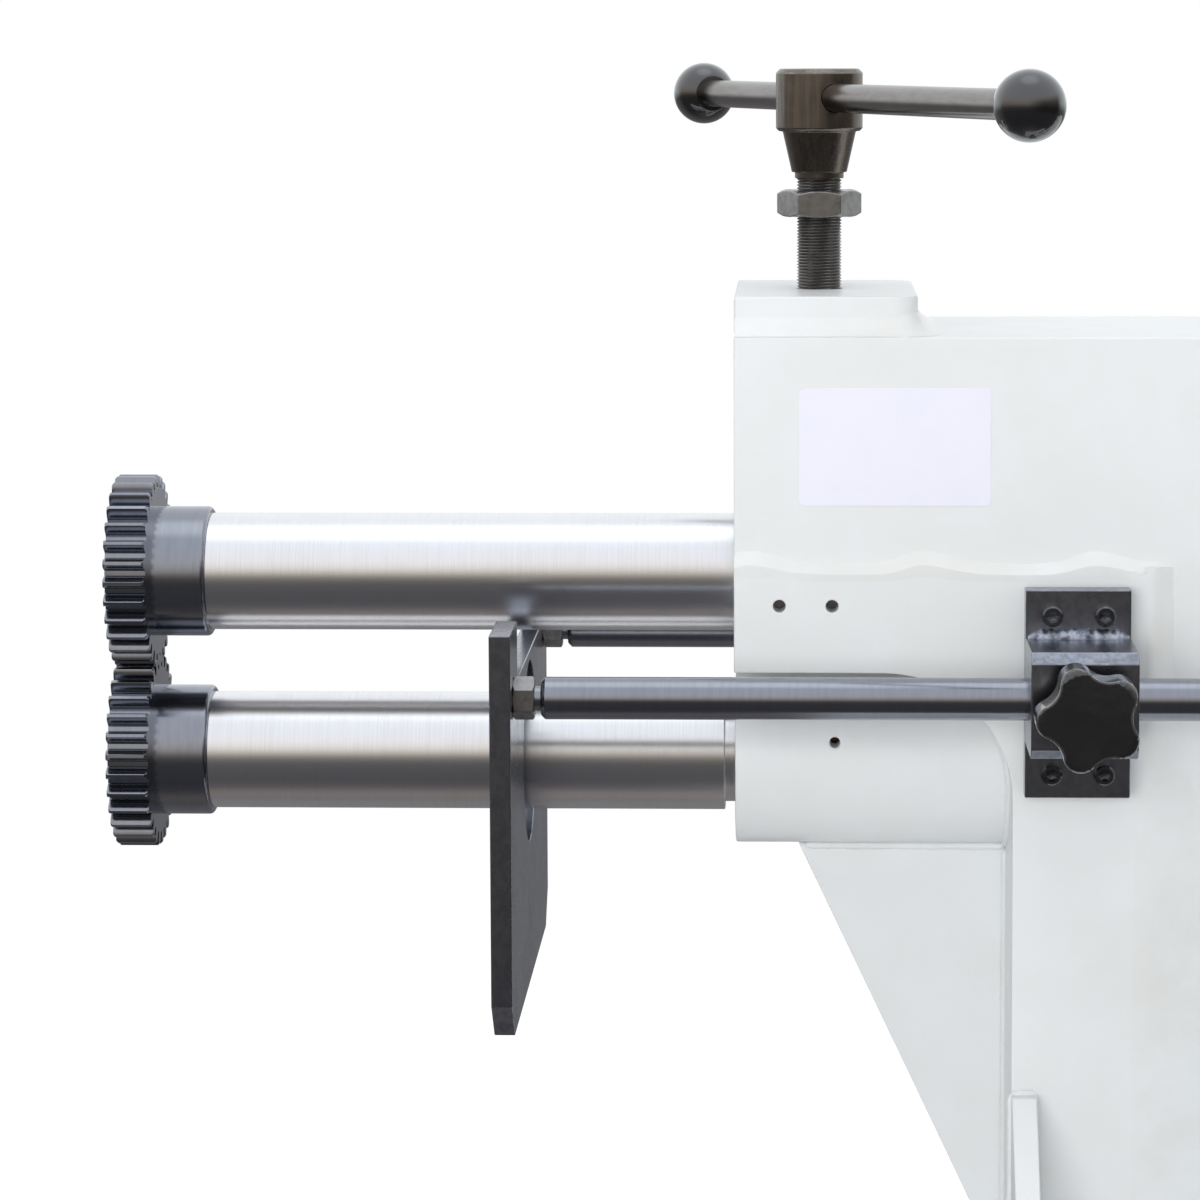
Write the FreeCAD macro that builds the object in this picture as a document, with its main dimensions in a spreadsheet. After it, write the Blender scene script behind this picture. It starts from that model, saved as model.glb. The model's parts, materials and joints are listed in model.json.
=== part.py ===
"""Rotary beading machine, bench mounted and motor driven. Millimetres, +Z up.

The origin is the centre of the base plate's underside. The rolls point to -X, the drive end
to +X, and the near side, with the controls, to -Y. Driving sizes stand in the sheet "dims".
"""
import FreeCAD, Part
import math
import os
import Sketcher

Vector = FreeCAD.Vector
Rotation = FreeCAD.Rotation

# Driving dimensions: alias, value and meaning.
DIMENSIONS = [
    ("lower_axis_height", 370, "lower shaft axis above the bench"),
    ("arm_front_x", -300, "front face of the arm"),
    ("base_rear_margin", 80, "rear wall to the base's end"),
    ("base_width", 500, "base plate along Y"),
    ("base_thickness", 18, "base plate"),
    ("base_corner_radius", 20, "base plate corners"),
    ("anchor_margin", 35, "bench bolt holes to the base's edges"),
    ("anchor_hole_diameter", 14, "bench bolt holes"),
    ("arm_width", 136, "over the two side plates"),
    ("body_length", 480, "arm front to rear wall"),
    ("side_wall", 10, "side plate thickness"),
    ("cheek_wall", 15, "cheek plate thickness"),
    ("cheek_length", 199, "cheek plates behind the arm front"),
    ("cheek_rise", 9, "top of the cheeks above the upper axis"),
    ("arm_rise", 112, "top of the side plates above the upper axis"),
    ("arm_floor_room", 10, "underside of the arm below the upper shaft"),
    ("top_plate_thickness", 10, "plate that closes the arm"),
    ("column_setback", 133.5, "column front behind the arm front"),
    ("throat_radius", 62, "rounded throat corner"),
    ("web_thickness", 6, "bent plate between the cheeks"),
    ("bulkhead_thickness", 8, "plates before and behind the slide block"),
    ("bulkhead_gap", 2, "slide block to the bulkhead behind it"),
    ("bulkhead_slot_clearance", 2, "slot round the upper shaft"),
    ("bulkhead_slot_lift", 11, "slot arc centre above the upper axis"),
    ("rear_wall_thickness", 12, "plate that closes the body"),
    ("cheek_hole_diameter", 6, "oil holes in the cheeks"),
    ("cheek_hole_setback", 34.3, "middle of the two oil holes"),
    ("cheek_hole_spacing", 25.2, "between the oil holes"),
    ("cheek_hole_drop", 6.7, "oil holes below the upper axis"),
    ("pad_length", 88, "nut pad along X"),
    ("pad_width", 126, "nut pad along Y"),
    ("pad_thickness", 19, "nut pad"),
    ("pad_corner_radius", 12, "rear corners of the nut pad"),
    ("housing_wall", 14, "lower bearing tube"),
    ("housing_bushing_wall", 6, "bushings in the tube and in the rear wall"),
    ("housing_length", 200, "lower bearing tube"),
    ("grease_hole_diameter", 5, "hole in the bearing tube"),
    ("grease_hole_setback", 48.6, "hole behind the tube's front"),
    ("grease_hole_rise", 12, "hole above the lower axis"),
    ("gusset_thickness", 12, "rib under the tube"),
    ("gusset_setback", 31, "rib front behind the tube's front"),
    ("gusset_drop", 263, "rib foot below the lower axis"),
    ("buttress_thickness", 12, "side ribs on the base"),
    ("buttress_drop", 154, "side rib top below the lower axis"),
    ("buttress_top_width", 8, "side rib at its top"),
    ("buttress_margin", 13, "side rib's toe to the base's edge"),
    ("buttress_foot_height", 12, "square foot of a side rib"),
    ("shaft_diameter", 58, "both shafts in front of the arm"),
    ("shaft_reach", 261, "arm front to the roll hubs"),
    ("journal_diameter", 50, "shafts in their bushings"),
    ("shaft_waist", 48, "upper shaft inside the arm"),
    ("waist_clearance", 6, "round the upper shaft in the rear wall"),
    ("block_shoulder_gap", 2, "upper shaft's shoulder before the slide block"),
    ("journal_overrun", 12, "upper journal behind the slide block"),
    ("rear_journal_overrun", 7, "lower journal behind the rear wall"),
    ("gear_shoulder_gap", 4, "gear seats beyond the gears"),
    ("pivot_shoulder_gap", 2, "upper shaft's last seat behind its gear"),
    ("pivot_overrun", 6, "upper shaft behind its pivot ball"),
    ("thrust_neck_step", 1.5, "lower shaft's gear seat down to its neck"),
    ("thread_overrun", 5, "lower shaft beyond its end nut"),
    ("shoulder_gap", 5.5, "lower shaft shoulder before the tube"),
    ("seat_diameter", 40, "roll and gear seats"),
    ("running_clearance", 0.05, "radial, for turning and sliding fits"),
    ("slide_clearance", 0.3, "between flat faces that move"),
    ("cut_overrun", 1, "cutting shapes beyond the faces that they open"),
    ("screw_clearance", 0.2, "screws in plain holes, radial"),
    ("key_width", 10, "keys"),
    ("key_height", 8, "keys"),
    ("key_depth", 5, "keys in the shaft"),
    ("roll_key_setback", 34, "roll keys before the shaft's shoulder"),
    ("roll_key_length", 28, "roll keys"),
    ("gear_key_inset", 2, "gear keys inside the gears' faces"),
    ("gear_module", 3, "all gears and the toothed rolls"),
    ("pressure_angle", 20, "all gears"),
    ("tooth_thinning", 0.12, "each tooth, for backlash"),
    ("tooth_root_share", 1.25, "tooth roots below the pitch circle, in modules"),
    ("roll_teeth", 30, "toothed rolls and timing gears"),
    ("roll_face", 20, "roll tooth length"),
    ("roll_hub_diameter", 64.5, "roll hubs"),
    ("roll_hub_length", 27, "roll hubs"),
    ("roll_hub_chamfer", 2, "roll hub rims"),
    ("roll_recess_diameter", 54, "recess in the roll face"),
    ("roll_recess_depth", 8, "recess in the roll face"),
    ("roll_washer_thickness", 6, "disc in the recess"),
    ("roll_washer_clearance", 1, "disc in the recess, radial"),
    ("roll_screw_diameter", 10, "screw in the shaft end"),
    ("roll_screw_length", 30, "screw in the shaft end"),
    ("roll_screw_head", 18, "countersunk head"),
    ("roll_screw_socket", 6, "hexagon across flats"),
    ("roll_screw_socket_depth", 3, "hexagon"),
    ("roll_screw_end_gap", 2, "screw's end to the bottom of its hole"),
    ("timing_gear_gap", 10, "rear wall to the timing gears"),
    ("timing_gear_face", 25, "timing gears"),
    ("bull_teeth", 44, "driven gear"),
    ("bull_face", 18, "driven gear"),
    ("bull_hub_length", 7, "driven gear hub towards the timing gear"),
    ("bull_hub_diameter", 60, "driven gear hub"),
    ("pinion_teeth", 18, "drive pinion"),
    ("pinion_face", 22, "drive pinion"),
    ("pinion_stub_diameter", 20, "pinion's front journal"),
    ("pinion_shaft_diameter", 25, "gearbox output shaft"),
    ("pinion_inset", 2, "pinion's journal inside the wall's face, its shaft inside the rim"),
    ("pinion_end_inset", 12, "pinion shaft's end inside the gearbox"),
    ("pinion_bore_clearance", 1, "round the pinion's shaft in the case and cover"),
    ("bushing_wall", 3, "bronze bushing in the slide block"),
    ("front_bushing_length", 60, "bronze bushing at the tube's mouth"),
    ("inner_bushing_length", 40, "bronze bushing at the tube's inner end"),
    ("rear_bushing_length", 24, "bronze bushing in the rear wall"),
    ("bushing_setback", 0.5, "mouth bushing behind the tube's front"),
    ("bushing_flange_thickness", 5, "rear bushing's flange"),
    ("bushing_flange_step", 8, "rear bushing's flange beyond its bore"),
    ("block_setback", 10, "slide block behind the arm front"),
    ("block_length", 62, "slide block along X"),
    ("block_rise", 58, "slide block top above the upper axis"),
    ("block_floor_gap", 1, "slide block above the arm's floor"),
    ("spring_diameter", 12, "lift springs"),
    ("spring_wire", 1.8, "lift springs"),
    ("spring_turns", 7, "lift springs"),
    ("spring_edge_x", 11, "lift springs to the slide block's ends"),
    ("spring_edge_y", 13.7, "lift springs to the slide block's sides"),
    ("spring_pocket_depth", 36, "pockets in the slide block"),
    ("spring_pocket_clearance", 0.5, "lift springs in their pockets"),
    ("spring_end_gap", 0.2, "lift springs to their seats"),
    ("screw_diameter", 22, "adjusting screw"),
    ("screw_hole_clearance", 0.5, "round the adjusting screw in the top plate"),
    ("screw_nose_diameter", 14, "screw tip in the pressure foot"),
    ("screw_nose_length", 8, "screw tip in the pressure foot"),
    ("foot_diameter", 30, "pressure foot"),
    ("foot_height", 14, "pressure foot"),
    ("foot_tip_diameter", 20, "pressure foot on the slide block"),
    ("foot_tip_height", 3, "pressure foot on the slide block"),
    ("foot_gap", 0.4, "pressure foot above the slide block"),
    ("lock_nut_rise", 35.5, "lock nut above the nut pad"),
    ("lock_nut_flats", 36, "lock nut"),
    ("lock_nut_thickness", 12.5, "lock nut"),
    ("screw_thread_rise", 54, "thread end above the nut pad"),
    ("hub_collar_height", 3, "hub's collar on the thread's end"),
    ("hub_collar_diameter", 24, "hub's collar on the thread's end"),
    ("hub_cone_height", 20, "hub's cone"),
    ("hub_cone_foot", 27, "hub's cone, small end"),
    ("hub_cone_top", 36, "hub's cone, large end"),
    ("hub_diameter", 42.5, "hub"),
    ("hub_height", 30.5, "hub"),
    ("hub_foot_chamfer", 1.5, "hub's lower edge"),
    ("hub_top_chamfer", 2, "hub's upper edge"),
    ("hub_spigot_diameter", 18, "screw spigot in the hub"),
    ("hub_spigot_length", 22, "screw spigot in the hub"),
    ("hub_spigot_gap", 0.5, "screw spigot to the end of its bore"),
    ("bar_rise", 93.4, "cross bar above the nut pad"),
    ("bar_diameter", 14, "cross bar"),
    ("bar_length", 400, "between ball centres"),
    ("bar_offset", 40, "cross bar pushed to the near side"),
    ("bar_angle", -68, "cross bar from +X, about Z"),
    ("ball_diameter", 32, "balls on the cross bar"),
    ("stop_setback", -113, "stop plate front face behind the arm front"),
    ("stop_thickness", 10, "stop plate"),
    ("stop_ear_margin", 22, "stop plate beyond the guide rods"),
    ("stop_top_drop", 12.3, "stop plate ears below the upper axis"),
    ("stop_height", 193.7, "stop plate"),
    ("stop_notch_width", 170, "notch in the stop plate"),
    ("stop_notch_clearance", 8.25, "notch under the upper roll's hub"),
    ("stop_hole_clearance", 12.75, "hole round the lower roll's hub"),
    ("stop_chamfer", 18, "lower corners of the stop plate"),
    ("rod_standoff", 26, "guide rods outside the clamp plates"),
    ("rod_drop", 45, "guide rods below the upper axis"),
    ("rod_diameter", 20, "guide rods"),
    ("rod_chamfer", 2, "guide rods"),
    ("rod_thread_diameter", 12, "guide rod ends"),
    ("rod_shoulder_gap", 13, "stop plate to the full rod"),
    ("rod_length", 460, "guide rods at full diameter"),
    ("stop_nut_flats", 18, "nuts behind the stop plate"),
    ("stop_nut_thickness", 10, "nuts behind the stop plate"),
    ("clamp_setback", 163.5, "clamp centre behind the arm front"),
    ("clamp_plate_width", 50, "clamp plate along X"),
    ("clamp_plate_height", 100, "clamp plate"),
    ("clamp_plate_thickness", 11, "clamp plate"),
    ("clamp_plate_drop", 2, "clamp plate centre below the rod axis"),
    ("clamp_block_height", 50, "clamp block"),
    ("clamp_block_depth", 48, "clamp block outward"),
    ("clamp_block_bevel", 4.8, "clamp block outer edges"),
    ("clamp_screw_spacing_x", 25, "clamp screws"),
    ("clamp_screw_spacing_z", 76, "clamp screws"),
    ("clamp_screw_diameter", 6, "clamp screws"),
    ("clamp_screw_head", 10, "clamp screws"),
    ("clamp_screw_length", 24, "clamp screws"),
    ("clamp_screw_socket", 5, "hexagon across flats"),
    ("socket_depth_share", 0.55, "hexagon sockets, of the head's height"),
    ("knob_stud_diameter", 10, "clamp knob stud"),
    ("knob_pad_length", 5, "brass pad before the stud"),
    ("knob_gap", 17, "knob before the clamp block"),
    ("knob_stud_inset", 2, "stud inside the knob"),
    ("knob_radius", 25, "over the knob's lobes"),
    ("knob_lobes", 5, "lobes of a knob"),
    ("knob_turn", 110.6, "first lobe round from the +X side, in degrees"),
    ("knob_lobe_radius", 8, "knob lobes"),
    ("knob_valley_radius", 12, "hollows between the lobes"),
    ("knob_thickness", 21, "knob"),
    ("knob_chamfer", 2.5, "knob's outer rim"),
    ("case_end_room", 16, "driven gear to the case's cover"),
    ("case_clearance", 8, "gear tips to the case's inside"),
    ("case_wall", 6, "gear case"),
    ("case_flange", 12, "gear case rim outward"),
    ("case_flange_thickness", 8, "gear case rim"),
    ("case_corner_radius", 14, "gear case cover corners"),
    ("cover_thickness", 8, "gear case cover"),
    ("cover_screw_diameter", 6, "cover screws"),
    ("cover_screw_head", 10, "cover screws"),
    ("cover_screw_length", 16, "cover screws"),
    ("cover_screw_socket", 5, "hexagon across flats"),
    ("cover_screw_rows", 4, "cover screws down each side"),
    ("cover_screw_end_margin", 14, "side rows to the top and bottom screws' line"),
    ("pivot_journal", 35, "upper shaft in the pivot ball"),
    ("pivot_ball_diameter", 50, "pivot ball"),
    ("pivot_ball_width", 20, "pivot ball"),
    ("pivot_housing_diameter", 66, "pivot housing in the cover"),
    ("pivot_flange_diameter", 88, "pivot housing flange"),
    ("pivot_flange_thickness", 6, "pivot housing flange"),
    ("pivot_cap_length", 22, "pivot housing's closed end"),
    ("pivot_cap_wall", 4, "pivot housing's closed end"),
    ("pivot_room", 3.5, "round the upper shaft in its pivot housing"),
    ("boss_diameter", 80, "adjuster boss"),
    ("boss_length", 36, "adjuster boss"),
    ("sleeve_diameter", 56, "thrust sleeve bore"),
    ("sleeve_length", 46, "thrust sleeve"),
    ("sleeve_inset", 4, "thrust sleeve inside the cover"),
    ("sleeve_spigot_diameter", 40, "thrust sleeve's wheel seat"),
    ("sleeve_spigot_length", 21, "thrust sleeve's wheel seat"),
    ("thrust_journal", 30, "lower shaft in the thrust sleeve"),
    ("thrust_thread", 24, "lower shaft's end"),
    ("wheel_diameter", 80, "adjusting wheel"),
    ("wheel_thickness", 16, "adjusting wheel"),
    ("wheel_grips", 12, "hollows round the adjusting wheel"),
    ("wheel_grip_radius", 7, "hollows round the adjusting wheel"),
    ("wheel_grip_offset", 4.2, "hollows' middles outside the wheel's rim"),
    ("end_nut_flats", 36, "nut on the lower shaft"),
    ("end_nut_thickness", 14, "nut on the lower shaft"),
    ("gearbox_length", 136, "worm gearbox along X"),
    ("gearbox_width", 112, "worm gearbox along Y"),
    ("gearbox_rise", 46, "worm gearbox above the pinion axis"),
    ("gearbox_drop", 98, "worm gearbox below the pinion axis"),
    ("gearbox_edge_radius", 10, "worm gearbox edges"),
    ("gearbox_hub_diameter", 80, "round pad in the gearbox's end"),
    ("gearbox_hub_rise", 4, "round pad in the gearbox's end"),
    ("gearbox_end_wall", 10, "gearbox behind the pinion shaft"),
    ("worm_cap_diameter", 52, "cap over the worm's bearing"),
    ("worm_cap_height", 5, "cap over the worm's bearing"),
    ("worm_drop", 50, "motor axis below the pinion axis"),
    ("motor_flange_diameter", 130, "motor flange"),
    ("motor_flange_thickness", 14, "motor flange"),
    ("motor_diameter", 108, "motor barrel under its fins"),
    ("motor_length", 170, "motor barrel"),
    ("motor_fins", 28, "motor fins"),
    ("motor_fin_height", 8, "motor fins"),
    ("motor_fin_thickness", 2.4, "motor fins"),
    ("motor_fin_root", 2, "fins inside the barrel"),
    ("motor_fin_end_gap", 6, "fins to the flange and to the end shield"),
    ("fan_cover_diameter", 126, "fan cover"),
    ("fan_cover_length", 48, "fan cover"),
    ("fan_cover_wall", 2, "fan cover"),
    ("fan_cover_lap", 8, "fan cover over the motor's end shield"),
    ("fan_cover_slots", 24, "fan cover openings"),
    ("fan_slot_start", 20, "fan cover openings from the axis"),
    ("fan_slot_length", 35, "fan cover openings"),
    ("fan_slot_width", 3.6, "fan cover openings"),
    ("terminal_length", 84, "terminal box along Y"),
    ("terminal_width", 90, "terminal box along X"),
    ("terminal_height", 44, "terminal box"),
    ("terminal_setback", 20, "terminal box behind the motor flange"),
    ("terminal_rise", 1, "terminal box above the fins"),
    ("terminal_lid_height", 8, "terminal box lid"),
    ("terminal_lid_overhang", 2, "terminal box lid beyond the box"),
    ("saddle_inset", 8, "motor's saddle inside the terminal box's edges"),
    ("saddle_depth", 20, "motor's saddle inside the barrel"),
    ("control_setback", 250, "control box behind the arm front"),
    ("control_length", 180, "control box along X"),
    ("control_height", 200, "control box"),
    ("control_depth", 70, "control box outward"),
    ("control_wall", 2, "control box"),
    ("control_floor_height", 130, "control box above the bench"),
    ("panel_thickness", 3, "control panel"),
    ("button_hole", 22, "control holes"),
    ("button_row_rise", 145, "upper control row above the box floor"),
    ("selector_rise", 65, "selector above the box floor"),
    ("button_spacing", 76, "between the upper controls"),
    ("stop_head_diameter", 40, "emergency stop"),
    ("stop_head_height", 14, "emergency stop"),
    ("stop_neck_height", 16, "emergency stop"),
    ("start_cap_height", 10, "start button"),
    ("selector_diameter", 28, "selector"),
    ("selector_height", 20, "selector"),
    ("selector_grip_width", 9, "selector"),
    ("selector_grip_inset", 1, "selector grip inside its collar"),
    ("selector_grip_gap", 2, "selector grip before the panel"),
    ("cap_overlap", 1, "button necks inside their caps"),
    ("button_travel_gap", 5, "control caps before the panel"),
    ("gland_flats", 24, "cable glands"),
    ("gland_length", 12, "cable glands, hexagon"),
    ("gland_nose_length", 10, "cable glands, dome nut"),
    ("gland_nose_foot", 23, "dome nut at the hexagon"),
    ("gland_nose_tip", 16, "dome nut at its mouth"),
    ("gland_bore", 9, "cable glands"),
]

doc = FreeCAD.newDocument("RotaryBeadingMachine")
dims = doc.addObject("Spreadsheet::Sheet", "dims")
nodes = {}


def fill_sheet():
    """Write each driving size into its own row, with its alias."""
    for row, (alias, value, meaning) in enumerate(DIMENSIONS, start=1):
        dims.set(f"A{row}", alias)
        dims.set(f"B{row}", str(value))
        dims.set(f"C{row}", meaning)
        dims.setAlias(f"B{row}", alias)
    doc.recompute()


fill_sheet()


def size(expression):
    """Number that an expression on the sheet gives."""
    return float(dims.evalExpression(str(expression)))


# Places that several pieces share, as expressions on the sheet.
FRONT = "dims.arm_front_x"
LOWER = "dims.lower_axis_height"
UPPER = f"({LOWER} + dims.gear_module * dims.roll_teeth)"
BASE_TOP = "dims.base_thickness"
HALF_ARM = "(dims.arm_width / 2)"
INNER = f"({HALF_ARM} - dims.side_wall)"
CHEEK_FACE = f"({INNER} + dims.cheek_wall)"
ARM_UNDERSIDE = f"({UPPER} - dims.shaft_diameter / 2 - dims.arm_floor_room)"
CHEEK_TOP = f"({UPPER} + dims.cheek_rise)"
WALL_TOP = f"({UPPER} + dims.arm_rise)"
ARM_TOP = f"({WALL_TOP} + dims.top_plate_thickness)"
PAD_TOP = f"({ARM_TOP} + dims.pad_thickness)"
COLUMN_FRONT = f"({FRONT} + dims.column_setback)"
REAR = f"({FRONT} + dims.body_length)"
BASE_HALF_X = f"({REAR} + dims.base_rear_margin)"
BASE_HALF_Y = "(dims.base_width / 2)"
BLOCK_START = f"({FRONT} + dims.block_setback)"
BLOCK_END = f"({BLOCK_START} + dims.block_length)"
BLOCK_FLOOR = f"({ARM_UNDERSIDE} + dims.web_thickness + dims.block_floor_gap)"
BLOCK_TOP = f"({UPPER} + dims.block_rise)"
SCREW_X = f"({FRONT} + dims.block_setback + dims.block_length / 2)"
HOUSING_BORE = "(dims.journal_diameter / 2 + dims.housing_bushing_wall)"
HOUSING_RADIUS = f"({HOUSING_BORE} + dims.housing_wall)"
ROLL_BACK = f"({FRONT} - dims.shaft_reach)"
TOOTH_BACK = f"({ROLL_BACK} - dims.roll_hub_length)"
ROLL_FRONT = f"({TOOTH_BACK} - dims.roll_face)"
SHAFT_END = f"({ROLL_FRONT} + dims.roll_recess_depth + dims.slide_clearance)"
GEAR_START = f"({REAR} + dims.timing_gear_gap)"
GEAR_END = f"({GEAR_START} + dims.timing_gear_face)"
BULL_START = f"({GEAR_END} + dims.bull_hub_length)"
PINION_START = f"({BULL_START} - (dims.pinion_face - dims.bull_face) / 2)"
PINION_DROP = "(dims.gear_module * (dims.bull_teeth + dims.pinion_teeth) / 2)"
PINION_AXIS = f"({LOWER} - {PINION_DROP})"
CASE_BACK = f"({BULL_START} + dims.bull_face + dims.case_end_room)"
CASE_ROOM = "(dims.case_clearance + dims.case_wall)"
CASE_HALF_WIDTH = f"(dims.gear_module * (dims.bull_teeth / 2 + 1) + {CASE_ROOM})"
CASE_TOP = f"({UPPER} + dims.gear_module * (dims.roll_teeth / 2 + 1) + {CASE_ROOM})"
CASE_BOTTOM = f"({PINION_AXIS} - dims.gear_module * (dims.pinion_teeth / 2 + 1) - {CASE_ROOM})"
COVER_BACK = f"({CASE_BACK} + dims.cover_thickness)"
PIVOT_X = f"({CASE_BACK} + dims.cover_thickness / 2)"
SLEEVE_START = f"({CASE_BACK} + dims.sleeve_inset)"
SLEEVE_END = f"({SLEEVE_START} + dims.sleeve_length)"
SPIGOT_END = f"({SLEEVE_END} + dims.sleeve_spigot_length)"
ROD_AXIS = f"({UPPER} - dims.rod_drop)"
CLAMP_X = f"({FRONT} + dims.clamp_setback)"
CLAMP_PLATE_FACE = f"({CHEEK_FACE} + dims.clamp_plate_thickness)"
ROD_Y = f"({CLAMP_PLATE_FACE} + dims.rod_standoff)"
CLAMP_BLOCK_FACE = f"({CLAMP_PLATE_FACE} + dims.clamp_block_depth)"
STOP_FRONT = f"({FRONT} + dims.stop_setback)"
STOP_BACK = f"({STOP_FRONT} + dims.stop_thickness)"
STOP_TOP = f"({UPPER} - dims.stop_top_drop)"
WORM_AXIS = f"({PINION_AXIS} - dims.worm_drop)"
WORM_X = f"({COVER_BACK} + dims.gearbox_length / 2)"
MOTOR_START = "(dims.gearbox_width / 2 + dims.motor_flange_thickness)"
MOTOR_END = f"({MOTOR_START} + dims.motor_length)"
TERMINAL_START = f"({MOTOR_START} + dims.terminal_setback)"
TERMINAL_END = f"({TERMINAL_START} + dims.terminal_length)"
MOTOR_TOP = f"({WORM_AXIS} + dims.motor_diameter / 2 + dims.motor_fin_height)"
TERMINAL_FLOOR = f"({MOTOR_TOP} + dims.terminal_rise)"
LID_FLOOR = f"({TERMINAL_FLOOR} + dims.terminal_height - dims.terminal_lid_height)"
CONTROL_X = f"({FRONT} + dims.control_setback)"
PANEL_BACK = f"({HALF_ARM} + dims.control_depth)"
PANEL_FACE = f"({PANEL_BACK} + dims.panel_thickness)"


def bind(item, **expressions):
    """Tie properties to the sheet; double underscores stand for dots."""
    for path, expression in expressions.items():
        item.setExpression(path.replace("__", "."), str(expression))
    return item


def place(item, x="0", y="0", z="0"):
    """Tie an object's position to the sheet."""
    return bind(item, Placement__Base__x=x, Placement__Base__y=y, Placement__Base__z=z)


def node(name, item):
    """Register an object as a named piece of the machine."""
    item.Label = name
    nodes[name] = item
    return item


# Part primitives and booleans


def block(name, low, high):
    """Box between two corners, each given as three expressions."""
    item = doc.addObject("Part::Box", name)
    lengths = [f"({b}) - ({a})" for a, b in zip(low, high)]
    bind(item, Length=lengths[0], Width=lengths[1], Height=lengths[2])
    return place(item, *low)


AXIS_TURNS = {
    "x": Rotation(Vector(0, 1, 0), 90),
    "y": Rotation(Vector(1, 0, 0), -90),
    "z": Rotation(),
    "-y": Rotation(Vector(1, 0, 0), 90),
    "-z": Rotation(Vector(1, 0, 0), 180),
}
AXIS_STEPS = {
    "x": (1, 0, 0),
    "y": (0, 1, 0),
    "z": (0, 0, 1),
    "-y": (0, -1, 0),
    "-z": (0, 0, -1),
}


def along(start, axis, distance):
    """Place at a distance from a start, along an axis."""
    return tuple(
        f"{value} + {step} * ({distance})" if step else value
        for value, step in zip(start, AXIS_STEPS[axis])
    )


def rod(name, axis, start, radius, length):
    """Cylinder from a start point along an axis."""
    item = doc.addObject("Part::Cylinder", name)
    item.Placement = FreeCAD.Placement(Vector(), AXIS_TURNS[axis])
    bind(item, Radius=radius, Height=length)
    return place(item, *start)


def prism(name, axis, start, flats, length):
    """Hexagonal prism across its flats, from a start point along an axis."""
    item = doc.addObject("Part::Prism", name)
    item.Polygon = 6
    item.Placement = FreeCAD.Placement(Vector(), AXIS_TURNS[axis])
    bind(item, Circumradius=f"({flats}) / sqrt(3)", Height=length)
    return place(item, *start)


def cone(name, axis, start, first_radius, last_radius, length):
    """Truncated cone from a start point along an axis."""
    item = doc.addObject("Part::Cone", name)
    item.Placement = FreeCAD.Placement(Vector(), AXIS_TURNS[axis])
    bind(item, Radius1=first_radius, Radius2=last_radius, Height=length)
    return place(item, *start)


def hexagon_nut(name, axis, start, flats, thickness, bore):
    """Nut with both faces chamfered by 30 degrees down to its flats."""
    hexagon = prism(f"{name}_hexagon", axis, start, flats, thickness)
    half = f"({thickness} / 2)"
    wide = f"({flats} / 2 + {half} / tan(30))"
    middle = along(start, axis, half)
    faces = fuse(
        f"{name}_faces",
        cone(f"{name}_first_face", axis, start, f"{flats} / 2", wide, half),
        cone(f"{name}_last_face", axis, middle, wide, f"{flats} / 2", half),
    )
    chamfered = doc.addObject("Part::Common", f"{name}_chamfered")
    chamfered.Base = hexagon
    chamfered.Tool = faces
    return cut(name, chamfered, rod(f"{name}_thread", axis, start, bore, thickness))


def cut(name, base, *tools):
    """Base without the tools."""
    item = doc.addObject("Part::Cut", name)
    item.Base = base
    item.Tool = tools[0] if len(tools) == 1 else fuse(f"{name}_tools", *tools)
    return item


def fuse(name, *shapes):
    """One solid of several."""
    item = doc.addObject("Part::MultiFuse", name)
    item.Shapes = list(shapes)
    return item


def group(name, *items):
    """Separate solids under one name."""
    item = doc.addObject("Part::Compound", name)
    item.Links = list(items)
    return item


def mirrored(name, source):
    """Copy of a near-side piece on the far side."""
    item = doc.addObject("Part::Mirroring", name)
    item.Source = source
    item.Normal = Vector(0, 1, 0)
    return item


def pair(name, near):
    """Near-side piece and its far-side mirror, two solids."""
    return group(name, near, mirrored(f"{name}_far", near))


# PartDesign bodies, sketches and features


def new_body(name, x="0", y="0", z="0"):
    """Empty body at a place tied to the sheet."""
    return place(doc.addObject("PartDesign::Body", name), x, y, z)


def new_sketch(body, name, plane, offset="0"):
    """Sketch on one of the body's own origin planes, moved along its normal."""
    sketch = body.newObject("Sketcher::SketchObject", name)
    support = [item for item in body.Origin.OriginFeatures if item.Role == plane][0]
    sketch.AttachmentSupport = [(support, "")]
    sketch.MapMode = "FlatFace"
    bind(sketch, AttachmentOffset__Base__z=offset)
    return sketch


def pin_point(sketch, geometry, point, x, y):
    """Tie one sketch point to the sheet."""
    for kind, expression in (("DistanceX", x), ("DistanceY", y)):
        value = size(expression)
        index = sketch.addConstraint(Sketcher.Constraint(kind, -1, 1, geometry, point, value))
        sketch.setExpression(f"Constraints[{index}]", str(expression))


def short_arc(start, end, centre, radius):
    """Counter-clockwise arc of under half a turn, and whether it starts at the start."""
    first = math.atan2(start.y - centre.y, start.x - centre.x)
    last = math.atan2(end.y - centre.y, end.x - centre.x)
    forward = (last - first) % (2 * math.pi) < math.pi
    if not forward:
        first, last = last, first
    whole = Part.Circle(centre, Vector(0, 0, 1), radius)
    return Part.ArcOfCircle(whole, first, last), forward


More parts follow.
